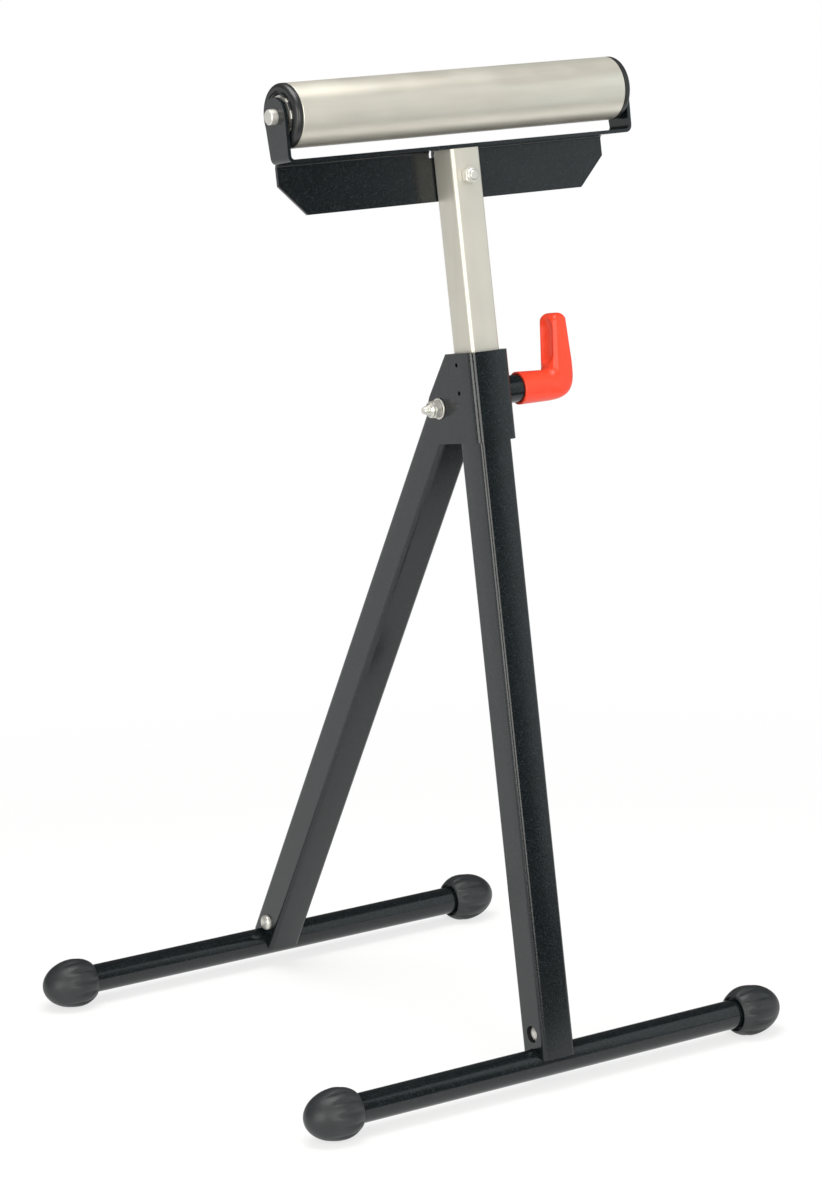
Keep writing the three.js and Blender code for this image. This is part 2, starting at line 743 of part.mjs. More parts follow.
// Spring button: a domed stud on a spring leaf inside the spigot, looking out to -X
function buttonBody(recess) {
  const leafFace = spigotSide / 2 - spigotWall - seatGap - recess;
  const tip = legSide / 2 + buttonProud - recess;
  const profile = [[0, leafFace - leafThickness / 2], [buttonRadius, leafFace - leafThickness / 2]];
  for (let i = 0; i <= ringSteps; i += 1) {
    const away = buttonDome * Math.sin((i / ringSteps) * Math.PI / 2);
    profile.push([swell(buttonRadius, buttonDome, away), tip - buttonDome + away]);
  }
  const leaf = box(
    [leafFace - leafThickness, leafFace], [-leafWidth / 2, leafWidth / 2], [-leafDrop, leafRise]);
  return turned(profile, rodSteps).add(solid(leaf));
}

function footFittings(name, recess) {
  const button = piece(`${name}_foot_button`, buttonBody(recess), zincSteel);
  button.rotation.z = Math.PI;
  button.position.z = buttonHeight;
  return groupOf(piece(`${name}_foot_spigot`, spigotBody(), blackPaint), button);
}

// Rubber cap for the +X end of a foot bar: an egg with a wide mouth around the bar
function footCapBody() {
  const bore = barRadius + seatGap;
  const floor = barLength / 2 + seatGap;
  const end = floor + footTip;
  const widest = end - footNose;
  const mouth = end - footLength;
  const mouthRadius = barRadius + footMouthGap;
  const rimRadius = mouthRadius + footRimWall;
  const backReach = (widest - mouth) / Math.sqrt(1 - (rimRadius / footRadius) ** 2);
  const profile = [
    [0, floor],
    [bore, floor],
    [bore, mouth + footMouthDepth],
    [mouthRadius, mouth + footMouthDepth],
    [mouthRadius, mouth],
  ];
  for (let i = 0; i < ringSteps; i += 1) {
    const away = (widest - mouth) * (1 - i / ringSteps);
    profile.push([swell(footRadius, backReach, away), widest - away]);
  }
  for (let i = 0; i <= ringSteps; i += 1) {
    const away = footNose * Math.sin((i / ringSteps) * Math.PI / 2);
    profile.push([swell(footRadius, footNose, away), widest + away]);
  }
  return turned(profile, footSteps);
}

function footPieces(name, depth) {
  const bar = turnedRing(barRadius - barWall, barRadius, -barLength / 2, barLength / 2);
  const left = piece(`foot_cap_${name}_left`, footCapBody(), blackRubber);
  left.rotation.z = Math.PI;
  const group = groupOf(
    piece(`${name}_foot_bar`, bar, blackPaint),
    left,
    piece(`foot_cap_${name}_right`, footCapBody(), blackRubber));
  group.position.set(0, depth, footRadius);
  return group;
}

legFrame.add(
  piece('front_leg', frontLeg, blackPaint),
  piece('collar', collarBody(), blackPaint),
  piece('post', postBody(), brightSteel),
  piece('roller_bracket', bracketBody(), blackPaint),
  pivotPieces(),
  clampPieces(),
  headPieces(),
  rollerPieces(),
  footFittings('front', frontButtonRecess));
rearFrame.add(
  piece('rear_leg', rearLeg, blackPaint),
  footFittings('rear', 0));

const rollerStand = groupOf(
  legFrame,
  rearFrame,
  footPieces('front', -stanceDepth / 2),
  footPieces('rear', stanceDepth / 2));

export default rollerStand;
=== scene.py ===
import json
import math

import bmesh
import bpy
from mathutils import Matrix, Vector


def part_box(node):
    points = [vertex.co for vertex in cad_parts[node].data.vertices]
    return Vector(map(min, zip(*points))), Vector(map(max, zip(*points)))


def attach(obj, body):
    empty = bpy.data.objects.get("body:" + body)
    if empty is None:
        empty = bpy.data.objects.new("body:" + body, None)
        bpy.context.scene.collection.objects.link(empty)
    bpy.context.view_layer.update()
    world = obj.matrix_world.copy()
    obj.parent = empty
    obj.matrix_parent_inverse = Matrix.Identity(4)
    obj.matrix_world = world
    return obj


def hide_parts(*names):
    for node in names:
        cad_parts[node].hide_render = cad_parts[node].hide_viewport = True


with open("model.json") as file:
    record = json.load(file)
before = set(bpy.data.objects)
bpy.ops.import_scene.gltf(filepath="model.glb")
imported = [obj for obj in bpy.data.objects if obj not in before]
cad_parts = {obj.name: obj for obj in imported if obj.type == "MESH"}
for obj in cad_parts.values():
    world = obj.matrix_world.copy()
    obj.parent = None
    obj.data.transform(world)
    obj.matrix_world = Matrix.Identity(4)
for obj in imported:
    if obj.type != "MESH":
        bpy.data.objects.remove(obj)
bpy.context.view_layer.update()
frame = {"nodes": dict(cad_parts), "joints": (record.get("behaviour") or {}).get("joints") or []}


# Foot bars. Two lengths of round steel tube lie across the stand, one under each leg.
# They are sawn square, welded to the spigots at mid-length and painted black with the frame.
MM = 0.001
ROUND_STEPS = 72
FRONT, REAR = "front", "rear"


def centre(node):
    low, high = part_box(node)
    return (low + high) / 2


def ends(node):
    """Where a node starts and stops across the stand."""
    low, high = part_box(node)
    return low.x, high.x


def skin(body, rings):
    """Faces from each ring of corners to the next; a point's ring makes triangles."""
    for near, far in zip(rings, rings[1:]):
        for i in range(len(near)):
            j = (i + 1) % len(near)
            corners = list(dict.fromkeys((near[i], near[j], far[j], far[i])))
            if len(corners) > 2:
                body.faces.new(corners)


def revolve(profile, steps=64, swell=None):
    """A turned body about X from (radius, x) points; swell(radius, x, angle) may shape each ring."""
    body = bmesh.new()
    closed = profile[0] == profile[-1]
    rings = []
    for radius, x in profile[:-1] if closed else profile:
        if radius == 0:
            rings.append([body.verts.new((x, 0, 0))] * steps)
            continue
        ring = []
        for i in range(steps):
            angle = 2 * math.pi * i / steps
            reach = swell(radius, x, angle) if swell else radius
            ring.append(body.verts.new((x, reach * math.cos(angle), reach * math.sin(angle))))
        rings.append(ring)
    if closed:
        rings.append(rings[0])
    skin(body, rings)
    return body


def rounded_ring(inner, outer, low, high, edge, steps=64):
    """A turned ring with its four corners broken by a small chamfer."""
    return revolve([
        (inner + edge, low), (outer - edge, low), (outer, low + edge), (outer, high - edge),
        (outer - edge, high), (inner + edge, high), (inner, high - edge), (inner, low + edge),
        (inner + edge, low)], steps)


def added(name, data):
    """A new object in the scene."""
    thing = bpy.data.objects.new(name, data)
    bpy.context.scene.collection.objects.link(thing)
    return thing


def mesh_of(name, body):
    """A mesh made from a body, its faces turned outwards."""
    bmesh.ops.recalc_face_normals(body, faces=body.faces)
    mesh = bpy.data.meshes.new(name)
    body.to_mesh(mesh)
    body.free()
    return mesh


def add_piece(name, body, place, finish, rides, node, soften=0.0, sharp=40):
    """Puts a mesh in its place in the frame, for its CAD node; edges sharper than sharp show."""
    body.transform(place)
    mesh = mesh_of(name, body)
    mesh.shade_smooth()
    piece = added(name, mesh)
    mesh.materials.append(finish.material)
    if soften:
        bevel = piece.modifiers.new("broken_edges", "BEVEL")
        bevel.width = soften
        bevel.segments = 2
        bevel.limit_method = "ANGLE"
        bevel.angle_limit = math.radians(sharp)
        bevel.harden_normals = True
    else:
        mesh.set_sharp_from_angle(angle=math.radians(sharp))
    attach(piece, rides)
    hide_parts(node)


def wired(tree, kind, inputs, **settings):
    """A new shader node with its settings; each input is a socket to link or a value to set."""
    node = tree.nodes.new(kind)
    for name, value in settings.items():
        setattr(node, name, value)
    for name, value in inputs.items():
        if isinstance(value, bpy.types.NodeSocket):
            tree.links.new(value, node.inputs[name])
        else:
            node.inputs[name].default_value = value
    return node


def math_node(tree, operation, first, second):
    return wired(tree, "ShaderNodeMath", {0: first, 1: second}, operation=operation).outputs[0]


def ranged(tree, value, start, end, low=0.0, high=1.0, kind="LINEAR"):
    """A value carried from the span start to end over to the span low to high, and held there."""
    spans = {"From Min": start, "From Max": end, "To Min": low, "To Max": high}
    node = wired(tree, "ShaderNodeMapRange", {"Value": value, **spans}, interpolation_type=kind)
    return node.outputs["Result"]


def noise(tree, where, scale, detail, roughness=0.5):
    inputs = {"Vector": where, "Scale": scale, "Detail": detail, "Roughness": roughness}
    return wired(tree, "ShaderNodeTexNoise", inputs).outputs["Fac"]


def blended(tree, share, first, second):
    """A mix of two colours."""
    inputs = {"Factor": share, "A": (*first, 1), "B": (*second, 1)}
    return wired(tree, "ShaderNodeMix", inputs, data_type="RGBA").outputs["Result"]


def node_group(name, inputs, outputs):
    """An empty shader group with named sockets, its input and output nodes, and the place shaded."""
    group = bpy.data.node_groups.new(name, "ShaderNodeTree")
    for socket, kind, value in inputs:
        made = group.interface.new_socket(socket, in_out="INPUT", socket_type=kind)
        made.default_value = value
    for socket in outputs:
        group.interface.new_socket(socket, in_out="OUTPUT", socket_type="NodeSocketFloat")
    given, out = group.nodes.new("NodeGroupInput"), group.nodes.new("NodeGroupOutput")
    return group, given, out, group.nodes.new("ShaderNodeTexCoord").outputs["Object"]


# Where the grain's peaks turn pale: pale flecks in the paint, and a painted glint of the orange peel.
FLECK_AND_GLINT_START = 0.48
FLECK_AND_GLINT_FULL = 0.66


def grain_group():
    """Fine sprayed or moulded grain: a height for bump, a slow tone for colour and gloss, and pale
    flecks on its peaks with a painted glint.
    """
    group, given, out, where = node_group(
        "surface_grain",
        [("Grain Size", "NodeSocketFloat", 0.001), ("Patch Size", "NodeSocketFloat", 0.06)],
        ("Height", "Tone", "Fleck And Glint"))
    for size, output, detail, roughness in (
            ("Grain Size", "Height", 3, 0.6), ("Patch Size", "Tone", 4, 0.55)):
        scale = math_node(group, "DIVIDE", 1.0, given.outputs[size])
        cloud = noise(group, where, scale, detail, roughness)
        group.links.new(cloud, out.inputs[output])
        if output == "Height":
            # The pale flecks on the grain's peaks stand in part for glints: a painted highlight.
            group.links.new(ranged(group, cloud, FLECK_AND_GLINT_START, FLECK_AND_GLINT_FULL), out.inputs["Fleck And Glint"])
    return group


surface_grain = grain_group()


class Finish:
    """A material for one slot of the record, with short ways to wire its Principled shader."""

    MASK_LOW = 0.3
    MASK_HIGH = 0.7

    def __init__(self, name, slot, metallic, specular):
        self.slot = slot
        self.material = bpy.data.materials.new(name)
        self.material.use_nodes = True
        self.tree = self.material.node_tree
        self.shader = self.tree.nodes["Principled BSDF"]
        self.shader.inputs["Metallic"].default_value = metallic
        self.shader.inputs["Specular IOR Level"].default_value = specular

    def drive(self, socket, value):
        self.tree.links.new(value, self.shader.inputs[socket])

    def effect(self, group, **values):
        inputs = {socket.replace("_", " "): value for socket, value in values.items()}
        return wired(self.tree, "ShaderNodeGroup", inputs, node_tree=group)

    def colour(self, mask, first, second):
        self.drive("Base Color", blended(self.tree, mask, first, second))

    def gloss(self, mask, low, high):
        self.drive("Roughness", ranged(self.tree, mask, self.MASK_LOW, self.MASK_HIGH, low, high))

    def relief(self, height, strength, depth):
        inputs = {"Height": height, "Strength": strength, "Distance": depth}
        self.drive("Normal", wired(self.tree, "ShaderNodeBump", inputs).outputs["Normal"])


def grained(name, slot, specular, grain, patch, dark, light, gloss, relief, mask="Tone"):
    """A painted or moulded skin: fine grain in its height, slow changes of colour and gloss."""
    skin = Finish(name, slot, 0.0, specular)
    surface = skin.effect(surface_grain, Grain_Size=grain, Patch_Size=patch)
    skin.colour(surface.outputs[mask], dark, light)
    skin.gloss(surface.outputs["Tone"], *gloss)
    skin.relief(surface.outputs["Height"], *relief)
    return skin


def painted_black(name, dark, light):
    """Sprayed black enamel on steel: a fine orange peel, and a few pale flecks on its peaks that are
    partly painted glints.
    """
    return grained(
        name, "black_paint", specular=0.5, grain=0.0012, patch=0.05, dark=dark, light=light,
        gloss=(0.13, 0.2), relief=(0.13, 0.0004), mask="Fleck And Glint")


# The light colour is the pale flecks, partly a painted glint of the orange peel.
black_paint = painted_black("black_paint", (0.0026, 0.0042, 0.0049), (0.013, 0.0178, 0.0205))

BAR_RADIUS = 12.7 * MM
BAR_BORE = 11.2 * MM
BAR_EDGE = 0.4 * MM
for side in (FRONT, REAR):
    node = f"{side}_foot_bar"
    bar = rounded_ring(BAR_BORE, BAR_RADIUS, *ends(node), BAR_EDGE, ROUND_STEPS)
    place = Matrix.Translation(centre(node))
    add_piece(f"{side}_bar_tube", bar, place, black_paint, f"{side}_frame", node)


# Foot caps. Each is an egg of black rubber moulded with shallow flutes around its inner half.
# It is pushed over the bar's end, and a wide mouth leaves a dark ring around the tube.
LEFT, RIGHT = "left", "right"
CAP_RADIUS = 22.0 * MM
CAP_NOSE = 31.5 * MM
CAP_LENGTH = 47.5 * MM
CAP_RIM_RADIUS = 16.4 * MM
CAP_RIM_ROUND = 0.7 * MM
CAP_MOUTH_RADIUS = 14.9 * MM
CAP_MOUTH_DEPTH = 5.0 * MM
CAP_BORE = 13.0 * MM
CAP_FLOOR = 7.2 * MM
CAP_FLUTES = 12
CAP_FLUTE_DEPTH = 1.9 * MM
CAP_FLUTE_REACH = 17.0 * MM
CAP_FLUTE_RUNOUT = 9.0 * MM
CAP_RINGS = 18
CAP_STEPS_PER_FLUTE = 12


def smooth_step(value):
    value = min(max(value, 0.0), 1.0)
    return value * value * (3 - 2 * value)


def ellipse(radius, reach, away):
    return radius * math.sqrt(max(0.0, 1 - (away / reach) ** 2))


def cap_profile():
    """From the bore's floor round the mouth and over the outside to the tip, tip towards +X."""
    back = (CAP_LENGTH - CAP_NOSE) / math.sqrt(1 - (CAP_RIM_RADIUS / CAP_RADIUS) ** 2)
    mouth = CAP_NOSE - CAP_LENGTH
    floor = CAP_NOSE - CAP_FLOOR
    points = [(0, floor), (CAP_BORE, floor), (CAP_BORE, mouth + CAP_MOUTH_DEPTH),
              (CAP_MOUTH_RADIUS, mouth + CAP_MOUTH_DEPTH - CAP_RIM_ROUND),
              (CAP_MOUTH_RADIUS, mouth + CAP_RIM_ROUND),
              (CAP_MOUTH_RADIUS + CAP_RIM_ROUND / 3, mouth + CAP_RIM_ROUND / 3),
              (CAP_MOUTH_RADIUS + CAP_RIM_ROUND, mouth),
              (CAP_RIM_RADIUS - CAP_RIM_ROUND, mouth),
              (CAP_RIM_RADIUS - CAP_RIM_ROUND / 3, mouth + CAP_RIM_ROUND / 3)]
    for i in range(CAP_RINGS):
        away = (-mouth - CAP_RIM_ROUND) * (1 - i / CAP_RINGS)
        points.append((ellipse(CAP_RADIUS, back, away), -away))
    for i in range(CAP_RINGS):
        away = CAP_NOSE * math.sin(i / CAP_RINGS * math.pi / 2)
        points.append((ellipse(CAP_RADIUS, CAP_NOSE, away), away))
    return points + [(0, CAP_NOSE)]


def fluted(radius, x, angle):
    """Shallow scallops around the cap, fading out towards its nose and its mouth."""
    outside = smooth_step((radius - CAP_RIM_RADIUS + CAP_RIM_ROUND) / CAP_RIM_ROUND)
    fade = outside * smooth_step((CAP_FLUTE_REACH - x) / CAP_FLUTE_REACH)
    fade *= smooth_step((x + CAP_LENGTH - CAP_NOSE) / CAP_FLUTE_RUNOUT)
    scallop = 0.5 - 0.5 * math.cos(CAP_FLUTES * angle)
    return radius - CAP_FLUTE_DEPTH * fade * scallop ** 3


black_rubber = grained(
    "black_rubber", "black_rubber", specular=0.35, grain=0.0016, patch=0.02,
    dark=(0.012, 0.0135, 0.0145), light=(0.029, 0.032, 0.034), gloss=(0.34, 0.5), relief=(0.2, 0.0005))
facing = {RIGHT: Matrix(), LEFT: Matrix.Rotation(math.pi, 4, "Z")}
for side in (FRONT, REAR):
    for hand in (LEFT, RIGHT):
        node = f"foot_cap_{side}_{hand}"
        left_end, right_end = ends(node)
        widest = right_end - CAP_NOSE if hand == RIGHT else left_end + CAP_NOSE
        place = Matrix.Translation((widest, centre(node).y, CAP_RADIUS)) @ facing[hand]
        cap = revolve(cap_profile(), CAP_STEPS_PER_FLUTE * CAP_FLUTES, fluted)
        add_piece(
            f"{side}_{hand}_rubber_cap", cap, place, black_rubber, f"{side}_frame", node, sharp=60)


# Legs. Each is a length of square steel tube with rolled corners, standing on a foot bar.
# The side walls are notched over the bar, the front and back walls hang past it as tongues,
# and a round hole near the foot takes the spring button. The rear leg's nose is mitred.
LEG_SIDE = 32.0 * MM
LEG_WALL = 1.5 * MM
LEG_CORNER = 4.0 * MM
LEG_SKIRT = 4.0 * MM
LEG_TOP = 602.0 * MM
SEAT_GAP = 0.3 * MM
BUTTON_HEIGHT = 25.5 * MM
BUTTON_HOLE = 7.2 * MM
PIVOT_OFFSET = 3.0 * MM
PIVOT_HOLE = 5.2 * MM
REAR_NOSE = 22.0 * MM
CLAMP_HOLE = 5.2 * MM
LEG_EDGE = 0.25 * MM
SMALL_STEPS = 48
CUT, JOIN, KEEP = "DIFFERENCE", "UNION", "INTERSECT"
MERGE_DISTANCE = 1e-6
FLAT_WITHIN = math.radians(0.05)


def leaning_frame(foot, up):
    """A frame on a foot bar's axis with Z along the leg and X along the bar."""
    x = Vector((1, 0, 0))
    z = Vector(up).normalized()
    y = z.cross(x)
    turn = Matrix((x, y, z)).transposed().to_4x4()
    return Matrix.Translation(foot) @ turn


joints = {joint["name"]: joint for joint in frame["joints"]}
pivot = Vector(joints["rear_leg_fold"]["pos_m"])
leg_frame = leaning_frame(centre("front_foot_bar"), joints["post_slide"]["axis"])
rear_foot = centre("rear_foot_bar")
to_pivot = pivot - rear_foot
rear_lean = math.atan2(-to_pivot.y, to_pivot.z) - math.asin(PIVOT_OFFSET / to_pivot.length)
rear_frame = leaning_frame(rear_foot, (0, -math.sin(rear_lean), math.cos(rear_lean)))
pivot_along = math.sqrt(to_pivot.length ** 2 - PIVOT_OFFSET ** 2)


def arc(across, up, radius, start, end, steps=8):
    """Points of a round stretch, angles in degrees."""
    turns = [math.radians(start + (end - start) * i / steps) for i in range(steps + 1)]
    return [(across + radius * math.cos(t), up + radius * math.sin(t)) for t in turns]


def rounded_square(side, corner):
    inset = side / 2 - corner
    points = []
    for turn, (across, up) in enumerate(((1, 1), (-1, 1), (-1, -1), (1, -1))):
        points += arc(across * inset, up * inset, corner, 90 * turn, 90 * turn + 90)
    return points


def prism(outline, low, high, along="Z"):
    """A closed body from an outline in the other two axes, in X, Y, Z order, carried along one axis."""
    spots = {
        "X": lambda a, b, c: (c, a, b), "Y": lambda a, b, c: (a, c, b), "Z": lambda a, b, c: (a, b, c)}
    spot = spots[along]
    body = bmesh.new()
    near = [body.verts.new(spot(a, b, low)) for a, b in outline]
    far = [body.verts.new(spot(a, b, high)) for a, b in outline]
    body.faces.new(near)
    body.faces.new(far)
    skin(body, (near, far))
    return body


def block(x, y, z):
    return prism([(x[0], y[0]), (x[1], y[0]), (x[1], y[1]), (x[0], y[1])], *z)


def rod(radius, low, high, y=0.0, z=0.0, steps=SMALL_STEPS):
    return prism(arc(y, z, radius, 0, 360 * (steps - 1) / steps, steps - 1), low, high, "X")


def shaped(blank, *steps):
    """The blank after each boolean step (operation, tool) in turn."""
    bodies = [blank] + [tool for _, tool in steps]
    helpers = [added("blank", mesh_of("blank", body)) for body in bodies]
    for (operation, _), tool in zip(steps, helpers[1:]):
        cut = helpers[0].modifiers.new("cut", "BOOLEAN")
        cut.operation = operation
        cut.object = tool
        cut.solver = "EXACT"
    bpy.context.view_layer.update()
    result = bmesh.new()
    result.from_mesh(helpers[0].evaluated_get(bpy.context.evaluated_depsgraph_get()).data)
    for helper in helpers:
        mesh = helper.data
        bpy.data.objects.remove(helper)
        bpy.data.meshes.remove(mesh)
    bmesh.ops.remove_doubles(result, verts=result.verts, dist=MERGE_DISTANCE)
    bmesh.ops.dissolve_limit(
        result, angle_limit=FLAT_WITHIN, verts=result.verts, edges=result.edges)
    return result


def square_tube(side, wall, corner, low, high):
    outside = prism(rounded_square(side, corner), low, high)
    bore = prism(rounded_square(side - 2 * wall, corner - wall), low - wall, high + wall)
    return shaped(outside, (CUT, bore))


def leg_tube(top):
    tube = square_tube(LEG_SIDE, LEG_WALL, LEG_CORNER, LEG_SKIRT, top)
    return shaped(
        tube,
        (CUT, rod(BAR_RADIUS + SEAT_GAP, -LEG_SIDE, LEG_SIDE, steps=ROUND_STEPS)),
        (CUT, rod(BUTTON_HOLE, -LEG_SIDE, 0, z=BUTTON_HEIGHT)))


clamp_height = (leg_frame.inverted() @ Vector(joints["clamp_turn"]["pos_m"])).z
front_leg = shaped(
    leg_tube(LEG_TOP), (CUT, rod(CLAMP_HOLE, 0, LEG_SIDE, z=clamp_height)))
add_piece("front_leg_tube", front_leg, leg_frame, black_paint, "front_frame", "front_leg", LEG_EDGE)

leg_back = LEG_SIDE / 2 + SEAT_GAP
leg_room = block((-LEG_SIDE, LEG_SIDE), (-LEG_SIDE, leg_back), (0, 2 * LEG_TOP))
leg_room.transform(rear_frame.inverted() @ leg_frame)
rear_leg = shaped(
    leg_tube(pivot_along + REAR_NOSE),
    (CUT, rod(PIVOT_HOLE, -LEG_SIDE, LEG_SIDE, -PIVOT_OFFSET, pivot_along)),
    (CUT, leg_room))
add_piece("rear_leg_tube", rear_leg, rear_frame, black_paint, "rear_frame", "rear_leg", LEG_EDGE)


# Spigots and spring buttons. A square stub welded on each foot bar stands up inside the leg.
# A zinc-plated stud on a spring leaf looks out through both walls and locks the leg on.
BUTTON_RADIUS = 6.9 * MM
BUTTON_DOME = 3.5 * MM
BUTTON_RINGS = 14
LEAF_THICKNESS = 1.2 * MM
LEAF_WIDTH = 12.0 * MM
LEAF_DROP = 8.0 * MM
LEAF_RISE = 22.0 * MM


def brushed_group():
    """Fine drawn or turned lines: a noise stretched along one direction, in metres of the frame."""
    group, given, out, where = node_group(
        "brushed_lines", [("Fineness", "NodeSocketVector", (1.0, 1.0, 1.0))], ("Height", "Tone"))
    stretch = wired(
        group, "ShaderNodeVectorMath", {0: where, 1: given.outputs["Fineness"]}, operation="MULTIPLY")
    for output, scale, detail in (("Height", 1.0, 4), ("Tone", 0.12, 3)):
        group.links.new(noise(group, stretch.outputs[0], scale, detail), out.inputs[output])
    return group


brushed_lines = brushed_group()


def bright_metal(name, slot, metallic, dull, clean, gloss, fineness, depth):
    """Bare or plated steel: fine working lines in its height, and a slow change of colour and gloss."""
    metal = Finish(name, slot, metallic, specular=0.5)
    lines = metal.effect(brushed_lines, Fineness=fineness)
    patches = metal.effect(surface_grain, Grain_Size=0.0008, Patch_Size=0.03)
    metal.colour(lines.outputs["Tone"], dull, clean)
    metal.gloss(patches.outputs["Tone"], *gloss)
    metal.relief(lines.outputs["Height"], strength=0.12, depth=depth)
    return metal


zinc_plate = bright_metal(
    "zinc_plate", "zinc_steel", metallic=0.7, dull=(0.53, 0.525, 0.49), clean=(0.69, 0.68, 0.63),
    gloss=(0.34, 0.46), fineness=(900, 900, 900), depth=0.0001)

spigot_paint = painted_black("spigot_paint", (0.008, 0.009, 0.010), (0.018, 0.020, 0.022))
for side, lean in ((FRONT, leg_frame), (REAR, rear_frame)):
    spigot = frame["nodes"][f"{side}_foot_spigot"]
    spigot.data.materials.clear()
    spigot.data.materials.append(spigot_paint.material)
    node = f"{side}_foot_button"
    tip, back = ends(node)
    leaf_face = back - LEAF_THICKNESS
    stud_root = leaf_face + LEAF_THICKNESS / 2
    stud = [(0, stud_root), (BUTTON_RADIUS, stud_root)]
    for i in range(BUTTON_RINGS):
        away = BUTTON_DOME * math.sin(i / BUTTON_RINGS * math.pi / 2)
        stud.append((ellipse(BUTTON_RADIUS, BUTTON_DOME, away), tip + BUTTON_DOME - away))
    leaf = block((leaf_face, back), (-LEAF_WIDTH / 2, LEAF_WIDTH / 2), (-LEAF_DROP, LEAF_RISE))
    button = shaped(revolve(stud + [(0, tip)], SMALL_STEPS), (JOIN, leaf))
    place = lean @ Matrix.Translation((0, 0, BUTTON_HEIGHT))
    add_piece(f"{side}_spring_button", button, place, zinc_plate, f"{side}_button", node)


# Collar. A plate folded into a channel wraps the top of the front leg and is welded to it.
# Its cheeks run back to a round lobe for the pivot; two small holes take plug welds.
COLLAR_SHEET = 3.0 * MM
COLLAR_BEND = 6.0 * MM
COLLAR_HEIGHT = 75.0 * MM
COLLAR_EDGE = 0.5 * MM
CHEEK_INNER = 16.8 * MM
CHEEK_OUTER = CHEEK_INNER + COLLAR_SHEET
CHEEK_LOBE = 17.0 * MM
CHEEK_LOBE_STEPS = 16
CHEEK_SHOULDER = 18.0 * MM
CHEEK_HEEL_REACH = 4.5 * MM
WELD_HOLE = 1.8 * MM
WELD_HOLE_SETBACK = 3.0 * MM
WELD_HOLE_DROPS = (9.5 * MM, 33.0 * MM)
web_face = -LEG_SIDE / 2 - SEAT_GAP - COLLAR_SHEET
collar_low = LEG_TOP - COLLAR_HEIGHT
local_pivot = leg_frame.inverted() @ pivot


def channel(outer, sheet, web_low, reach, bend):
    """A folded channel's section: a web on the low side, two flanges up to reach, round bends."""
    inner, inner_bend, line = outer - sheet, bend - sheet, web_low + bend
    points = [(outer, reach), (inner, reach)]
    points += arc(outer - bend, line, inner_bend, 0, -90)
    points += arc(bend - outer, line, inner_bend, -90, -180)
    points += [(-inner, reach), (-outer, reach)]
    points += arc(bend - outer, line, bend, 180, 270)
    return points + arc(outer - bend, line, bend, -90, 0)


def touch(point, middle, radius, side):
    """The angle, in degrees, at which a line from a point touches a circle."""
    away = Vector(point) - Vector(middle)
    return math.degrees(math.atan2(away.y, away.x) + side * math.acos(radius / away.length))


def cheek_outline():
    lobe = (local_pivot.y, local_pivot.z)
    heel = (local_pivot.y + CHEEK_HEEL_REACH, collar_low)
    shoulder = (CHEEK_SHOULDER, LEG_TOP)
    front = web_face - COLLAR_SHEET
    start, end = touch(heel, lobe, CHEEK_LOBE, 1), touch(shoulder, lobe, CHEEK_LOBE, -1)
    round_end = arc(*lobe, CHEEK_LOBE, start, end, CHEEK_LOBE_STEPS)
    return [(front, collar_low), heel, *round_end, shoulder, (front, LEG_TOP)]


section = channel(CHEEK_OUTER, COLLAR_SHEET, web_face, local_pivot.y + 2 * CHEEK_LOBE, COLLAR_BEND)
wide = 2 * CHEEK_OUTER
weld_holes = [rod(WELD_HOLE, -wide, 0, WELD_HOLE_SETBACK, LEG_TOP - drop) for drop in WELD_HOLE_DROPS]
collar = shaped(
    prism(section, collar_low, LEG_TOP),
    (KEEP, prism(cheek_outline(), -wide, wide, "X")),
    (CUT, rod(PIVOT_HOLE, -wide, wide, local_pivot.y, local_pivot.z)),
    (CUT, rod(CLAMP_HOLE, 0, wide, z=clamp_height)),
    *[(CUT, hole) for hole in weld_holes])
add_piece("leg_collar", collar, leg_frame, black_paint, "front_frame", "collar", COLLAR_EDGE)


# Pivot bolt. A plated hexagon bolt through both cheeks and the rear leg is the fold's hinge.
# Its lock nut and thread end stand out on the left, with a plain washer under head and nut.
BOLT_RADIUS = 5.0 * MM
BOLT_PITCH = 1.5 * MM
BOLT_THREAD_DEPTH = 0.55 * MM
BOLT_POINT = (2.4 * MM, 6.0 * MM)
NUT_FLATS = 14.0 * MM
NUT_HEX = 5.5 * MM
NUT_RING_RADIUS = 6.6 * MM
NUT_RING_EDGE = 1.0 * MM
NUT_BORE = 5.15 * MM
HEX_FACE_SHARE = 0.97
HEX_CORNER_SLOPE = 0.55
WASHER_RADIUS = 8.9 * MM
WASHER_EDGE = 0.3 * MM
THREAD_STEPS = 40
ROWS_PER_PITCH = 8


def threaded_rod(radius, depth, pitch, low, high, point):
    """A rod along X with a helical thread; point is the taper at its low end, depth and length."""
    rows = int(round((high - low) / pitch * ROWS_PER_PITCH))
    point_depth, point_length = point

    def cut(x_radius, x, angle):
        turn = ((x - low) / pitch - angle / (2 * math.pi)) % 1.0
        whole = min(1.0, (x - low) / point_length)
        return x_radius - point_depth * (1 - whole) - depth * whole * abs(2 * turn - 1)

    side = [(radius, low + (high - low) * i / rows) for i in range(rows + 1)]
    return revolve([(0, low), *side, (0, high)], THREAD_STEPS, cut)


def hexagon(flats, low, high):
    """A hexagon along X with turned-down corners on both faces."""
    corner = flats / math.sqrt(3)
    outline = arc(0, 0, corner, 0, 300, 5)
    face = flats / 2 * HEX_FACE_SHARE
    lift = (corner - face) * HEX_CORNER_SLOPE
    turned = revolve([
        (0, low), (face, low), (corner, low + lift), (corner, high - lift), (face, high), (0, high)],
        ROUND_STEPS)
    return shaped(prism(outline, low, high, "X"), (KEEP, turned))


def hex_bolt(thread, tip, thread_end, flats, head_seat, head_end):
    """A bolt along X, its thread at the low end and its hexagon head at the high end."""
    radius, depth, pitch, point = thread
    return shaped(
        threaded_rod(radius, depth, pitch, tip, thread_end, point),
        (JOIN, rod(radius, thread_end - pitch, head_seat + SEAT_GAP)),
        (JOIN, hexagon(flats, head_seat, head_end)))


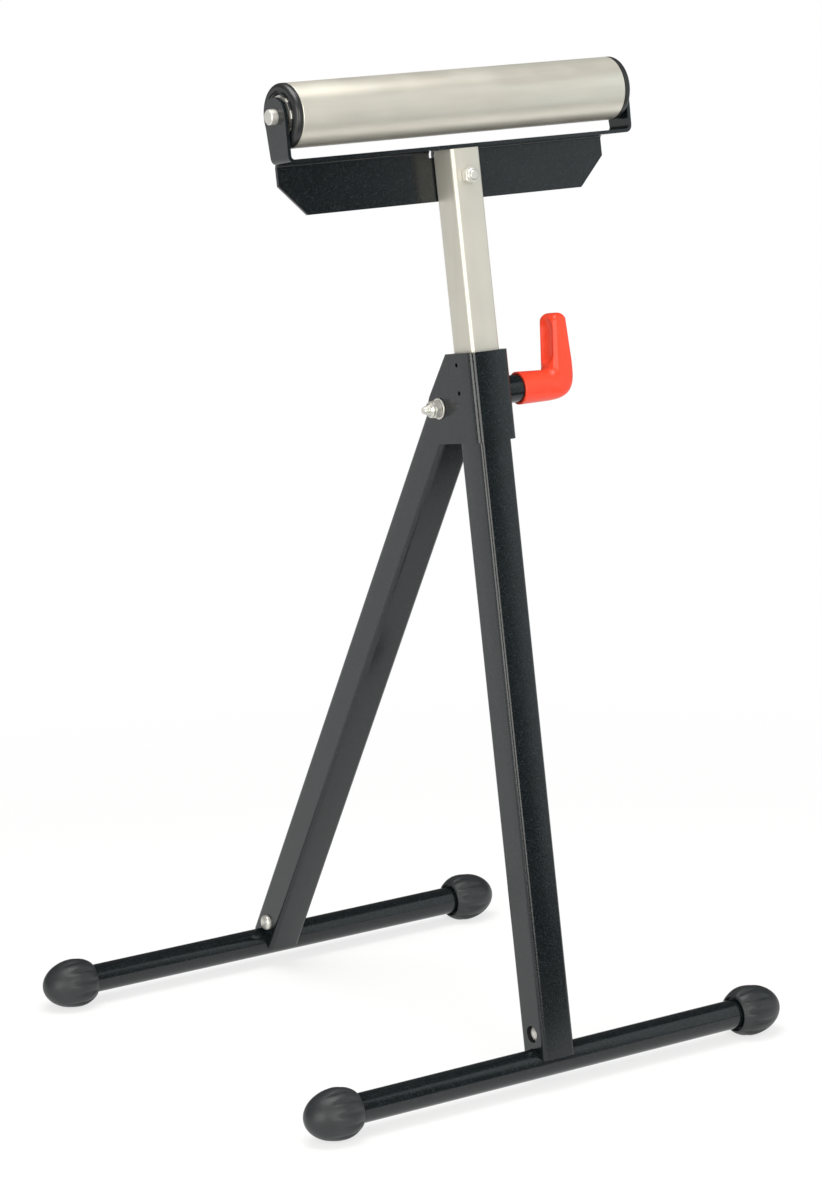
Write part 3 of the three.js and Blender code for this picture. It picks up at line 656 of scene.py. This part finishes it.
def lock_nut(flats, hex_height, ring, ring_edge, bore, tip, seat):
    """A hexagon nut along X with a turned collar for its locking ring on the low side."""
    inside = seat - hex_height / 2
    crown = revolve(
        [(0, tip), (ring - ring_edge, tip), (ring, tip + ring_edge), (ring, inside), (0, inside)],
        SMALL_STEPS)
    nut = shaped(hexagon(flats, seat - hex_height, seat), (JOIN, crown))
    return shaped(nut, (CUT, rod(bore, 2 * tip, 0)))


pivot_frame = leg_frame @ Matrix.Translation((0, local_pivot.y, local_pivot.z))
bolt_tip, bolt_head_end = ends("pivot_bolt")
nut_tip, nut_seat = ends("pivot_nut")
bolt_head_seat = ends("pivot_washer_right")[1] + SEAT_GAP
bolt_thread = (BOLT_RADIUS, BOLT_THREAD_DEPTH, BOLT_PITCH, BOLT_POINT)
pivot_bolt = hex_bolt(bolt_thread, bolt_tip, nut_seat, NUT_FLATS, bolt_head_seat, bolt_head_end)
add_piece("pivot_hex_bolt", pivot_bolt, pivot_frame, zinc_plate, "front_frame", "pivot_bolt")
pivot_nut = lock_nut(NUT_FLATS, NUT_HEX, NUT_RING_RADIUS, NUT_RING_EDGE, NUT_BORE, nut_tip, nut_seat)
add_piece("pivot_lock_nut", pivot_nut, pivot_frame, zinc_plate, "front_frame", "pivot_nut")
for hand in (LEFT, RIGHT):
    node = f"pivot_washer_{hand}"
    washer = rounded_ring(NUT_BORE, WASHER_RADIUS, *ends(node), WASHER_EDGE)
    add_piece(f"pivot_plain_washer_{hand}", washer, pivot_frame, zinc_plate, "front_frame", node)


# Clamp. A turned steel boss is welded to the right cheek and painted with it. A threaded screw
# runs through it and presses on the post; its outer end is moulded into the red plastic handle.
BOSS_RADIUS = 11.6 * MM
BOSS_EDGE = 0.8 * MM
SCREW_RADIUS = 5.0 * MM
SCREW_PITCH = 1.5 * MM
SCREW_THREAD_DEPTH = 0.7 * MM
HANDLE_WALL = 2.0 * MM
HANDLE_SOCKET_DEPTH = 9.0 * MM
GRIP_REACH = 30.8 * MM
GRIP_WIDTH = 23.0 * MM
GRIP_BASE = 22.7 * MM
GRIP_TIP = 14.2 * MM
GRIP_SPLAY = 5.5 * MM
GRIP_HEIGHT = 59.0 * MM
GRIP_TIP_ROUND = 6.5 * MM
ROUND = 2.0
GRIP_SQUARENESS = 4.2
ELBOW_LENGTH = 29.0 * MM
ELBOW_RISE = 31.0 * MM
ELBOW_SQUARENESS = 3.4
NECK_DROP = 1.5 * MM
CORNER_FILLET = 3.0 * MM
SCOOP_HALF = 9.0 * MM
SCOOP_DEPTH = 4.3 * MM
SCOOP_FLATNESS = 2.6
SCOOP_RIM = 0.45 * MM
SCOOP_LOW = 25.0 * MM
SCOOP_HIGH = 46.5 * MM
SCOOP_LEAST_HALF = 2.0 * MM
SCOOP_COLUMNS = 32
RIM_COLUMNS = (-0.9 * MM, -0.6 * MM, -0.3 * MM, 0.0, 0.3 * MM, 0.6 * MM, 0.9 * MM)
OUTSIDE_COLUMNS = 96
MOUTH_EDGE = 0.6 * MM
ELBOW_ROWS = 24
GRIP_ROWS = 64
TIP_ROWS = 10

clamp_frame = leg_frame @ Matrix.Translation((0, 0, clamp_height))
boss = rounded_ring(CLAMP_HOLE, BOSS_RADIUS, *ends("clamp_boss"), BOSS_EDGE, ROUND_STEPS)
add_piece("clamp_boss_tube", boss, clamp_frame, black_paint, "front_frame", "clamp_boss")
screw_low, screw_high = ends("clamp_screw")
screw_point = (SCREW_THREAD_DEPTH, SCREW_PITCH)
screw = threaded_rod(
    SCREW_RADIUS, SCREW_THREAD_DEPTH, SCREW_PITCH, screw_low, screw_high, screw_point)
add_piece("clamp_threaded_screw", screw, clamp_frame, zinc_plate, "clamp_screw", "clamp_screw")


def squared(value, power):
    """A part of a circle's reach drawn out towards a square as the power goes up from round."""
    return value ** (ROUND / power)


def handle_rings(start):
    """Rings from mouth to tip: inner and outer edge in X and Z, half the depth in Y, squareness."""
    radius = BOSS_RADIUS + SEAT_GAP + HANDLE_WALL
    half = GRIP_WIDTH / 2
    root = start + GRIP_REACH
    elbow_start = root + GRIP_BASE - ELBOW_LENGTH
    elbow_top = ELBOW_RISE - radius
    neck = radius - NECK_DROP
    taper = (GRIP_SPLAY + GRIP_TIP - GRIP_BASE) / (GRIP_HEIGHT - elbow_top)

    def inner_x(z):
        return root + GRIP_SPLAY * z / GRIP_HEIGHT

    def outer_x(z):
        return root + GRIP_BASE + taper * (z - elbow_top)

    mouth = radius - MOUTH_EDGE
    rings = [
        (Vector((start, mouth)), Vector((start, -mouth)), mouth, ROUND),
        (Vector((start + MOUTH_EDGE, radius)), Vector((start + MOUTH_EDGE, -radius)), radius, ROUND)]
    for i in range(ELBOW_ROWS + 1):
        share = i / ELBOW_ROWS
        sweep, level = math.sin(share * math.pi / 2), math.cos(share * math.pi / 2)
        inner = Vector((
            inner_x(neck) - CORNER_FILLET * (1 - sweep), neck + CORNER_FILLET * (1 - level)))
        outer = Vector((
            elbow_start + ELBOW_LENGTH * squared(sweep, ELBOW_SQUARENESS),
            elbow_top - ELBOW_RISE * squared(max(level, 0.0), ELBOW_SQUARENESS)))
        depth = radius + (half - radius) * share
        rings.append((inner, outer, depth, ROUND + (GRIP_SQUARENESS - ROUND) * share))
    tip_start = GRIP_HEIGHT - GRIP_TIP_ROUND
    foot_inner, foot_outer = rings[-1][:2]
    tip_inner = Vector((inner_x(tip_start), tip_start))
    tip_outer = Vector((outer_x(tip_start), tip_start))
    for i in range(1, GRIP_ROWS):
        share = i / GRIP_ROWS
        inner, outer = foot_inner.lerp(tip_inner, share), foot_outer.lerp(tip_outer, share)
        rings.append((inner, outer, half, GRIP_SQUARENESS))
    for i in range(TIP_ROWS + 1):
        turn = i / (TIP_ROWS + 1) * math.pi / 2
        inset = GRIP_TIP_ROUND * (1 - math.cos(turn))
        z = tip_start + GRIP_TIP_ROUND * math.sin(turn)
        inner, outer = Vector((inner_x(z) + inset, z)), Vector((outer_x(z) - inset, z))
        rings.append((inner, outer, half - inset, GRIP_SQUARENESS))
    return rings


def past_scoop(z):
    """How far a height is past the straight stretch of the finger scoop."""
    return max(SCOOP_LOW - z, z - SCOOP_HIGH, 0.0)


def scooped(y, z):
    """How deep the finger scoop is at a place on the grip's inner face; its rim has a small round."""
    away = math.hypot(y, past_scoop(z)) / SCOOP_HALF
    depth = SCOOP_DEPTH * (1 - away ** SCOOP_FLATNESS)
    return (depth + math.hypot(depth, SCOOP_RIM)) / 2


def section_turns(depth, power, z):
    """Angles around a section of the handle: close in the scoop, closest along its two rims."""
    half = max(ellipse(SCOOP_HALF, SCOOP_HALF, past_scoop(z)), SCOOP_LEAST_HALF)

    def turn_at(y):
        share = (y / depth) ** power
        return math.atan((share / (1 - share)) ** (1 / power))

    rim = [turn_at(half + shift) for shift in RIM_COLUMNS]
    floor = [rim[0] * (2 * i / SCOOP_COLUMNS - 1) for i in range(1, SCOOP_COLUMNS)]
    span = 2 * math.pi - 2 * rim[-1]
    outside = [math.pi + rim[-1] + span * i / OUTSIDE_COLUMNS for i in range(1, OUTSIDE_COLUMNS)]
    far = [math.pi - turn for turn in reversed(rim)]
    return far + [math.pi + turn for turn in floor + rim] + outside


def handle_body(start):
    body = bmesh.new()
    rings = []
    for inner, outer, depth, power in handle_rings(start):
        ring = []
        for turn in section_turns(depth, power, inner.y):
            across, side = math.cos(turn), math.sin(turn)
            reach = (abs(across) ** power + abs(side) ** power) ** (-1 / power)
            x, z = inner.lerp(outer, (1 + reach * across) / 2)
            y = depth * reach * side
            if across < 0:
                x += scooped(y, z)
            ring.append(body.verts.new((x, y, z)))
        rings.append(ring)
    skin(body, rings)
    body.faces.new(rings[0])
    body.faces.new(rings[-1])
    return body


red_plastic = grained(
    "red_plastic", "red_plastic", specular=0.4, grain=0.0009, patch=0.012,
    dark=(0.63, 0.035, 0.011), light=(0.69, 0.050, 0.018), gloss=(0.30, 0.42), relief=(0.08, 0.0003))
handle_start = ends("clamp_handle")[0]
socket_end = handle_start + HANDLE_SOCKET_DEPTH
handle = shaped(
    handle_body(handle_start),
    (CUT, rod(BOSS_RADIUS + SEAT_GAP, 0, socket_end, steps=ROUND_STEPS)),
    (CUT, rod(SCREW_RADIUS + SEAT_GAP, 0, screw_high + SEAT_GAP)))
add_piece("clamp_lever_handle", handle, clamp_frame, red_plastic, "clamp_handle", "clamp_handle")


# Post. A bright-drawn square tube slides in the front leg and carries the roller head.
# Its corners are rolled and its sides keep faint lengthwise draw lines. A bolt hole crosses its top,
# and the back edge there is cut down to clear the bracket's bend.
POST_SIDE = 28.6 * MM
POST_WALL = 1.5 * MM
POST_CORNER = 3.2 * MM
POST_LENGTH = 570.0 * MM
POST_EDGE = 0.3 * MM
ROLLER_HEIGHT = (leg_frame.inverted() @ Vector(joints["roller_spin"]["pos_m"])).z
ROLLER_RADIUS = 26.6 * MM
STRAP_DROP = 9.0 * MM
BRACKET_SHEET = 3.0 * MM
BRACKET_BEND = 6.0 * MM
HEAD_BOLT_DROP = 23.2 * MM
HEAD_HOLE = 4.3 * MM
HEAD_HOLE_STEPS = 32
strap_high = ROLLER_HEIGHT - ROLLER_RADIUS - STRAP_DROP
strap_low = strap_high - BRACKET_SHEET
post_top = strap_low - SEAT_GAP
apron_face = POST_SIDE / 2 + SEAT_GAP
apron_back = apron_face + BRACKET_SHEET
bend_y, bend_z = apron_back - BRACKET_BEND, strap_high - BRACKET_BEND
head_bolt_height = strap_low - HEAD_BOLT_DROP

drawn_steel = bright_metal(
    "drawn_steel", "bright_steel", metallic=0.7, dull=(0.56, 0.543, 0.478),
    clean=(0.635, 0.615, 0.543), gloss=(0.40, 0.50), fineness=(700, 700, 12), depth=0.0001)


def cross_hole(radius):
    hole = rod(radius, -2 * LEG_SIDE, 2 * LEG_SIDE, steps=HEAD_HOLE_STEPS)
    hole.transform(Matrix.Translation((0, 0, head_bolt_height)) @ Matrix.Rotation(math.pi / 2, 4, "Z"))
    return hole


post = shaped(
    square_tube(POST_SIDE, POST_WALL, POST_CORNER, post_top - POST_LENGTH, post_top),
    (CUT, block((-POST_SIDE, POST_SIDE), (bend_y, 2 * POST_SIDE), (bend_z, ROLLER_HEIGHT))),
    (CUT, cross_hole(HEAD_HOLE)))
add_piece("sliding_post", post, leg_frame, drawn_steel, "head", "post", POST_EDGE)


# Roller bracket. One black steel sheet is folded into a strap, two ears for the axle and an apron.
# The apron's lower corners are cut off, and two short slots relieve its bend beside the post.
STRAP_LIP = 0.3 * MM
STRAP_END_INSET = 1.8 * MM
EAR_TOP = 15.5 * MM
EAR_TAPER = 2.5 * MM
EAR_STEPS = 28
APRON_DEPTH = 42.0 * MM
APRON_END_GAP = 6.3 * MM
APRON_SHIFT = -3.0 * MM
APRON_CHAMFER = 25.0 * MM
RELIEF_OVERLAP = 1.0 * MM
RELIEF_REACH = 3.0 * MM
RELIEF_DEPTH = 5.5 * MM
AXLE_HOLE = 6.5 * MM
BRACKET_EDGE = 0.45 * MM

ear_outer = ends("roller_bracket")[1]
ear_inner = ear_outer - BRACKET_SHEET
apron_low = strap_low - APRON_DEPTH
apron_left = APRON_SHIFT - ear_inner + APRON_END_GAP
apron_right = APRON_SHIFT + ear_inner - APRON_END_GAP
strap_front = POST_SIDE / 2 + STRAP_LIP


def ear_outline():
    top = (0.0, ROLLER_HEIGHT)
    back_y = POST_SIDE / 2 - STRAP_END_INSET
    taper = strap_high + EAR_TAPER
    back, front = (back_y, taper), (-strap_front, taper)
    low = strap_low - BRACKET_SHEET
    start, end = touch(back, top, EAR_TOP, 1), touch(front, top, EAR_TOP, -1) + 360
    round_end = arc(*top, EAR_TOP, start, end, EAR_STEPS)
    return [(-strap_front, low), (back_y, low), back, *round_end, front]


def apron_section():
    start = bend_y - BRACKET_SHEET
    inside = arc(bend_y, bend_z, BRACKET_BEND - BRACKET_SHEET, 90, 0)
    outside = arc(bend_y, bend_z, BRACKET_BEND, 0, 90)
    return [
        (start, strap_low), *inside, (apron_face, apron_low),
        (apron_back, apron_low), *outside, (start, strap_high)]


apron_outline = [
    (apron_left + APRON_CHAMFER, apron_low), (apron_right - APRON_CHAMFER, apron_low),
    (apron_right, apron_low + APRON_CHAMFER), (apron_right, ROLLER_HEIGHT),
    (apron_left, ROLLER_HEIGHT), (apron_left, apron_low + APRON_CHAMFER)]
apron = shaped(
    prism(apron_section(), apron_left, apron_right, "X"),
    (KEEP, prism(apron_outline, -strap_front, 2 * apron_back, "Y")))
bend_room = (bend_y, apron_back + BRACKET_SHEET)
above_bend = strap_high + EAR_TAPER
relief_height = (strap_low - RELIEF_DEPTH, above_bend)
relief_near, relief_far = POST_SIDE / 2 - RELIEF_OVERLAP, POST_SIDE / 2 + RELIEF_REACH
ears = channel(ear_outer, BRACKET_SHEET, strap_low, ROLLER_HEIGHT + 2 * EAR_TOP, BRACKET_BEND)
bracket = shaped(
    prism(ears, -2 * strap_front, 2 * strap_front, "Y"),
    (KEEP, prism(ear_outline(), -2 * ear_outer, 2 * ear_outer, "X")),
    (CUT, block((apron_left, apron_right), bend_room, (apron_low, above_bend))),
    (JOIN, apron),
    (CUT, block((-relief_far, -relief_near), bend_room, relief_height)),
    (CUT, block((relief_near, relief_far), bend_room, relief_height)),
    (CUT, rod(AXLE_HOLE, -2 * ear_outer, 2 * ear_outer, z=ROLLER_HEIGHT)),
    (CUT, cross_hole(HEAD_HOLE)))
add_piece("roller_fork", bracket, leg_frame, black_paint, "head", "roller_bracket", BRACKET_EDGE)


# Head bolt. A plated bolt from behind the apron holds the bracket on the post.
# Its lock nut and thread end show on the post's front face.
HEAD_RADIUS = 4.0 * MM
HEAD_PITCH = 1.25 * MM
HEAD_THREAD_DEPTH = 0.55 * MM
HEAD_POINT = (0.8 * MM, 0.8 * MM)
HEAD_FLATS = 13.0 * MM
HEAD_HEIGHT = 5.3 * MM
HEAD_NUT_HEIGHT = 8.0 * MM
HEAD_NUT_HEX = 6.0 * MM
HEAD_NUT_RING = 5.6 * MM
HEAD_NUT_RING_EDGE = 0.8 * MM
HEAD_NUT_BORE = 4.15 * MM
HEAD_TAIL = 1.3 * MM

head_frame = (
    leg_frame @ Matrix.Translation((0, 0, head_bolt_height))
    @ Matrix.Rotation(math.pi / 2, 4, "Z") @ Matrix.Rotation(math.pi / 6, 4, "X"))
head_seat = apron_back + SEAT_GAP
nut_face = -POST_SIDE / 2 - SEAT_GAP
nut_end = nut_face - HEAD_NUT_HEIGHT
head_thread = (HEAD_RADIUS, HEAD_THREAD_DEPTH, HEAD_PITCH, HEAD_POINT)
head_bolt = hex_bolt(
    head_thread, nut_end - HEAD_TAIL, nut_face, HEAD_FLATS, head_seat, head_seat + HEAD_HEIGHT)
add_piece("head_hex_bolt", head_bolt, head_frame, zinc_plate, "head", "head_bolt")
head_nut = lock_nut(
    HEAD_FLATS, HEAD_NUT_HEX, HEAD_NUT_RING, HEAD_NUT_RING_EDGE, HEAD_NUT_BORE, nut_end, nut_face)
add_piece("head_lock_nut", head_nut, head_frame, zinc_plate, "head", "head_nut")


# Roller. A length of drawn steel tube, polished to a satin skin with faint streaks along it.
# It spins on two ball bearings, and its cut ends are rolled over slightly at the rim.
ROLLER_WALL = 2.0 * MM
ROLLER_EDGE = 0.5 * MM
ROLLER_STEPS = 160
roller_frame = leg_frame @ Matrix.Translation((0, 0, ROLLER_HEIGHT))
roller_ends = ends("roller_tube")
polished_steel = bright_metal(
    "polished_steel", "bright_steel", metallic=0.72, dull=(0.525, 0.492, 0.420),
    clean=(0.725, 0.715, 0.640), gloss=(0.36, 0.44), fineness=(70, 600, 600), depth=0.00008)
tube = rounded_ring(
    ROLLER_RADIUS - ROLLER_WALL, ROLLER_RADIUS, *roller_ends, ROLLER_EDGE, ROLLER_STEPS)
add_piece("work_roller_tube", tube, roller_frame, polished_steel, "roller", "roller_tube")


# Roller ends. A black plastic cap is pressed into each end of the tube and holds a ball bearing.
# Its slotted nose grips the bearing like fingers, inside a groove; the axle is a plain plated bar.
PLUG_LENGTH = 16.0 * MM
PLUG_EDGE = 1.0 * MM
CAP_RIM = 2.6 * MM
CAP_CORNER = 3.4 * MM
CAP_CORNER_STEPS = 18
CAP_EDGE = 0.3 * MM
CAP_STEPS = 128
GROOVE_WIDTH = 1.6 * MM
GROOVE_DEPTH = 1.4 * MM
FINGERS = 8
SLOT_WIDTH = 7.0 * MM
SLOT_DEPTH = 2.6 * MM
BEARING_RADIUS = 17.0 * MM
BEARING_WIDTH = 10.0 * MM
BEARING_INSET = 1.1 * MM
OUTER_RACE = 3.1 * MM
INNER_RACE = 4.0 * MM
PRESS_GAP = 0.15 * MM
NOSE_WALL = 1.85 * MM
SHOULDER_REACH = 3.0 * MM
SHOULDER_LENGTH = 3.0 * MM
BALL_RADIUS = 2.4 * MM
BALLS = 8
CAGE_THICKNESS = 1.3 * MM
CAGE_WIDTH = 2.0 * MM
CAGE_EDGE = 0.2 * MM
RACE_EDGE = 0.35 * MM
RACE_GROOVE_STEPS = 12
AXLE_RADIUS = 6.35 * MM
AXLE_CHAMFER = 0.8 * MM


black_plastic = grained(
    "black_plastic", "black_plastic", specular=0.5, grain=0.0009, patch=0.015,
    dark=(0.010, 0.0105, 0.011), light=(0.018, 0.019, 0.020), gloss=(0.28, 0.4), relief=(0.1, 0.0003))
tube_end = roller_ends[1]
cap_end = ends("roller_end_cap_right")[1]
bearing_end = cap_end - BEARING_INSET
bearing_start = bearing_end - BEARING_WIDTH
bearing_middle = (bearing_start + bearing_end) / 2
pocket = BEARING_RADIUS + PRESS_GAP
race_bore = AXLE_RADIUS + PRESS_GAP
inner_race_radius = race_bore + INNER_RACE
outer_race_bore = BEARING_RADIUS - OUTER_RACE
ball_pitch = (inner_race_radius + outer_race_bore) / 2


def end_cap():
    plug = ROLLER_RADIUS - ROLLER_WALL - PRESS_GAP
    plug_start, rim = tube_end - PLUG_LENGTH, tube_end + SEAT_GAP
    shoulder = bearing_start - SEAT_GAP
    nose = pocket + NOSE_WALL
    groove = nose + GROOVE_WIDTH
    face = rim + CAP_RIM + CAP_CORNER
    step = BEARING_RADIUS - SHOULDER_REACH
    plug_corner = (plug - PLUG_EDGE, plug_start)
    points = [plug_corner, (plug, plug_start + PLUG_EDGE), (plug, rim), (ROLLER_RADIUS, rim)]
    for x, y in arc(0, 0, CAP_CORNER, 0, 90, CAP_CORNER_STEPS):
        points.append((ROLLER_RADIUS - CAP_CORNER + x, rim + CAP_RIM + y))
    points += [
        (groove + CAP_EDGE, face), (groove, face - CAP_EDGE),
        (groove, face - GROOVE_DEPTH), (nose, face - GROOVE_DEPTH),
        (nose, cap_end - CAP_EDGE), (nose - CAP_EDGE, cap_end),
        (pocket + CAP_EDGE, cap_end), (pocket, cap_end - CAP_EDGE), (pocket, shoulder),
        (step, shoulder), (step, shoulder - SHOULDER_LENGTH), (pocket, plug_start), plug_corner]
    slots = []
    for i in range(FINGERS):
        slot = block(
            (cap_end - SLOT_DEPTH, cap_end + SLOT_DEPTH), (-SLOT_WIDTH / 2, SLOT_WIDTH / 2),
            (0, nose + GROOVE_WIDTH / 2))
        slot.transform(Matrix.Rotation(2 * math.pi * i / FINGERS, 4, "X"))
        slots.append((CUT, slot))
    return shaped(revolve(points, CAP_STEPS), *slots)


def race(bore, outside, end, groove_on_bore):
    """A bearing ring with broken edges and a round groove that the balls run in."""
    reach = BALL_RADIUS + PRESS_GAP
    wall = bore if groove_on_bore else outside
    half = math.degrees(math.acos(abs(wall - ball_pitch) / reach))
    turn = 90 if groove_on_bore else 270
    sweep = arc(bearing_middle, ball_pitch, reach, turn - half, turn + half, RACE_GROOVE_STEPS)
    groove = [(y, x) for x, y in sweep]
    start = bearing_start
    low_edge = [(bore + RACE_EDGE, start), (outside - RACE_EDGE, start), (outside, start + RACE_EDGE)]
    high_edge = [
        (outside, end - RACE_EDGE), (outside - RACE_EDGE, end),
        (bore + RACE_EDGE, end), (bore, end - RACE_EDGE)]
    foot = [(bore, start + RACE_EDGE), (bore + RACE_EDGE, start)]
    if groove_on_bore:
        return revolve(low_edge + high_edge + groove + foot, ROUND_STEPS)
    return revolve(low_edge + groove + high_edge + foot, ROUND_STEPS)


def ball_cage():
    cage = rounded_ring(
        ball_pitch - CAGE_THICKNESS / 2, ball_pitch + CAGE_THICKNESS / 2,
        bearing_middle - CAGE_WIDTH / 2, bearing_middle + CAGE_WIDTH / 2, CAGE_EDGE)
    for i in range(BALLS):
        turn = Matrix.Rotation(2 * math.pi * i / BALLS, 4, "X")
        spot = turn @ Matrix.Translation((bearing_middle, 0, ball_pitch))
        bmesh.ops.create_uvsphere(
            cage, u_segments=20, v_segments=12, radius=BALL_RADIUS, matrix=spot)
    return cage


for hand in (LEFT, RIGHT):
    place = roller_frame @ facing[hand]
    add_piece(
        f"tube_plug_{hand}", end_cap(), place, black_plastic, "roller", f"roller_end_cap_{hand}")
    outer = race(outer_race_bore, BEARING_RADIUS, bearing_end, groove_on_bore=True)
    inner = race(race_bore, inner_race_radius, ear_inner - SEAT_GAP, groove_on_bore=False)
    for name, body, rides in (
            ("outer_race", outer, "roller"), ("inner_race", inner, "head")):
        add_piece(f"{name}_{hand}", body, place, zinc_plate, rides, f"bearing_{name}_{hand}")
    add_piece(
        f"ball_set_{hand}", ball_cage(), place, zinc_plate, f"{hand}_ball_cage",
        f"bearing_ball_cage_{hand}")

axle_low, axle_high = ends("roller_axle")
axle_face = AXLE_RADIUS - AXLE_CHAMFER
axle = revolve([
    (0, axle_low), (axle_face, axle_low), (AXLE_RADIUS, axle_low + AXLE_CHAMFER),
    (AXLE_RADIUS, axle_high - AXLE_CHAMFER), (axle_face, axle_high), (0, axle_high)])
add_piece("axle_bar", axle, roller_frame, zinc_plate, "head", "roller_axle", sharp=30)


# Studio. A white floor and a white surround; shiny surfaces see both dim, the floor only in front.
# Two upright softboxes stand either side of the camera, one close by on the right, one overhead.
FLOOR_REACH = 20.0
WHITE = (1, 1, 1, 1)
FLOOR_COLOUR = (0.86, 0.86, 0.86)
FLOOR_FRONT_COLOUR = (0.08, 0.08, 0.08)
FLOOR_FRONT_START = -0.8
FLOOR_FRONT_END = -0.5
FLOOR_SHADOW = 0.3
SHADOW_NEAR = 0.45
SHADOW_FAR = 1.3
SURROUND_LIGHT = 0.5
SURROUND_MIRRORED = 0.1
SURROUND_SEEN = 1.0
LIGHT_TARGET = Vector((0, 0, 0.6))
WATTS_PER_BRIGHTNESS = 4.0
SOFTBOXES = (
    ("left_softbox", (-2.23, -1.34, 0.95), 1.5, 1.8, 3.9, (1.0, 0.975, 0.93)),
    ("right_softbox", (-0.33, -2.38, 0.95), 1.3, 1.8, 3.4, (1.0, 0.975, 0.93)),
    ("near_softbox", (1.28, -0.98, 1.05), 1.2, 2.0, 0.64, (0.92, 1.0, 1.03)),
    ("top_softbox", (-0.22, -0.15, 1.95), 1.2, 1.0, 5.6, (1.0, 0.99, 0.97)),
)


def seen_straight(tree, path):
    """One for rays that come from the camera, straight or through something clear."""
    return math_node(
        tree, "MAXIMUM", path.outputs["Is Camera Ray"], path.outputs["Is Transmission Ray"])


def mixed(tree, share, first, second):
    """A mix of two shaders."""
    return wired(tree, "ShaderNodeMixShader", {0: share, 1: first, 2: second}).outputs[0]


def white_floor(name):
    """Matt white that reads as pure white away from the stand and keeps a soft shadow under it."""
    floor = bpy.data.materials.new(name)
    floor.use_nodes = True
    tree = floor.node_tree
    tree.nodes.clear()
    where = tree.nodes.new("ShaderNodeTexCoord").outputs["Object"]
    away = wired(tree, "ShaderNodeVectorMath", {0: where}, operation="LENGTH").outputs["Value"]
    white = ranged(tree, away, SHADOW_NEAR, SHADOW_FAR, 1 - FLOOR_SHADOW, kind="SMOOTHSTEP")
    depth = wired(tree, "ShaderNodeSeparateXYZ", {0: where}).outputs["Y"]
    behind = ranged(tree, depth, FLOOR_FRONT_START, FLOOR_FRONT_END, kind="SMOOTHSTEP")
    path = tree.nodes.new("ShaderNodeLightPath")
    mirrored = math_node(tree, "MULTIPLY", path.outputs["Is Glossy Ray"], behind)
    in_front = math_node(tree, "SUBTRACT", path.outputs["Is Glossy Ray"], mirrored)
    colour = blended(tree, in_front, FLOOR_COLOUR, FLOOR_FRONT_COLOUR)
    matt = wired(tree, "ShaderNodeBsdfDiffuse", {"Color": colour}).outputs[0]
    glow = wired(tree, "ShaderNodeEmission", {"Color": WHITE}).outputs[0]
    seen = math_node(tree, "MAXIMUM", seen_straight(tree, path), mirrored)
    share = math_node(tree, "MULTIPLY", seen, white)
    wired(tree, "ShaderNodeOutputMaterial", {"Surface": mixed(tree, share, matt, glow)})
    return floor


floor_mesh = bpy.data.meshes.new("studio_floor")
floor_corners = [
    (x * FLOOR_REACH, y * FLOOR_REACH, 0) for x, y in ((-1, -1), (1, -1), (1, 1), (-1, 1))]
floor_mesh.from_pydata(floor_corners, [], [(0, 1, 2, 3)])
floor_mesh.materials.append(white_floor("studio_floor_white"))
added("studio_floor", floor_mesh)

for name, spot, width, height, brightness, colour in SOFTBOXES:
    light = bpy.data.lights.new(name, "AREA")
    light.shape = "RECTANGLE"
    light.size = width
    light.size_y = height
    light.energy = WATTS_PER_BRIGHTNESS * width * height * brightness
    light.color = colour
    lamp = added(name, light)
    lamp.location = spot
    aim = LIGHT_TARGET - Vector(spot)
    if name != "top_softbox":
        aim.z = 0
    lamp.rotation_euler = aim.to_track_quat("-Z", "Y").to_euler()
    lamp.visible_camera = False

world = bpy.data.worlds.new("white_surround")
bpy.context.scene.world = world
world.use_nodes = True
tree = world.node_tree
tree.nodes.clear()
ray = tree.nodes.new("ShaderNodeLightPath")
lit, mirrored, seen = [
    wired(tree, "ShaderNodeBackground", {"Color": WHITE, "Strength": strength}).outputs[0]
    for strength in (SURROUND_LIGHT, SURROUND_MIRRORED, SURROUND_SEEN)]
unseen = mixed(tree, ray.outputs["Is Glossy Ray"], lit, mirrored)
wired(tree, "ShaderNodeOutputWorld", {"Surface": mixed(tree, seen_straight(tree, ray), unseen, seen)})


# Camera. A long lens at about table height looks at the stand from its front left, slightly down.
# It is rolled a little, so that the stand leans in the frame as it does in the picture.
CAMERA_AIM = Vector((0.004719, -0.01645, 0.385752))
CAMERA_AZIMUTH = math.radians(-33.892)
CAMERA_ELEVATION = math.radians(12.478)
CAMERA_ROLL = math.radians(-1.356)
CAMERA_DISTANCE = 3.4004
CAMERA_LENS = 117.51
CAMERA_SENSOR = 36.0
CAMERA_SIGHT = 100.0
back = Vector((
    math.sin(CAMERA_AZIMUTH) * math.cos(CAMERA_ELEVATION),
    -math.cos(CAMERA_AZIMUTH) * math.cos(CAMERA_ELEVATION),
    math.sin(CAMERA_ELEVATION)))
level = (-back).cross(Vector((0, 0, 1))).normalized()
upright = level.cross(-back)
right = math.cos(CAMERA_ROLL) * level + math.sin(CAMERA_ROLL) * upright
up = math.cos(CAMERA_ROLL) * upright - math.sin(CAMERA_ROLL) * level
lens = bpy.data.cameras.new("camera")
lens.lens = CAMERA_LENS
lens.sensor_width = CAMERA_SENSOR
lens.clip_end = CAMERA_SIGHT
camera = added("camera", lens)
turn = Matrix((right, up, back)).transposed().to_4x4()
camera.matrix_world = Matrix.Translation(CAMERA_AIM + back * CAMERA_DISTANCE) @ turn
bpy.context.scene.camera = camera
bpy.context.scene.view_settings.view_transform = "Standard"
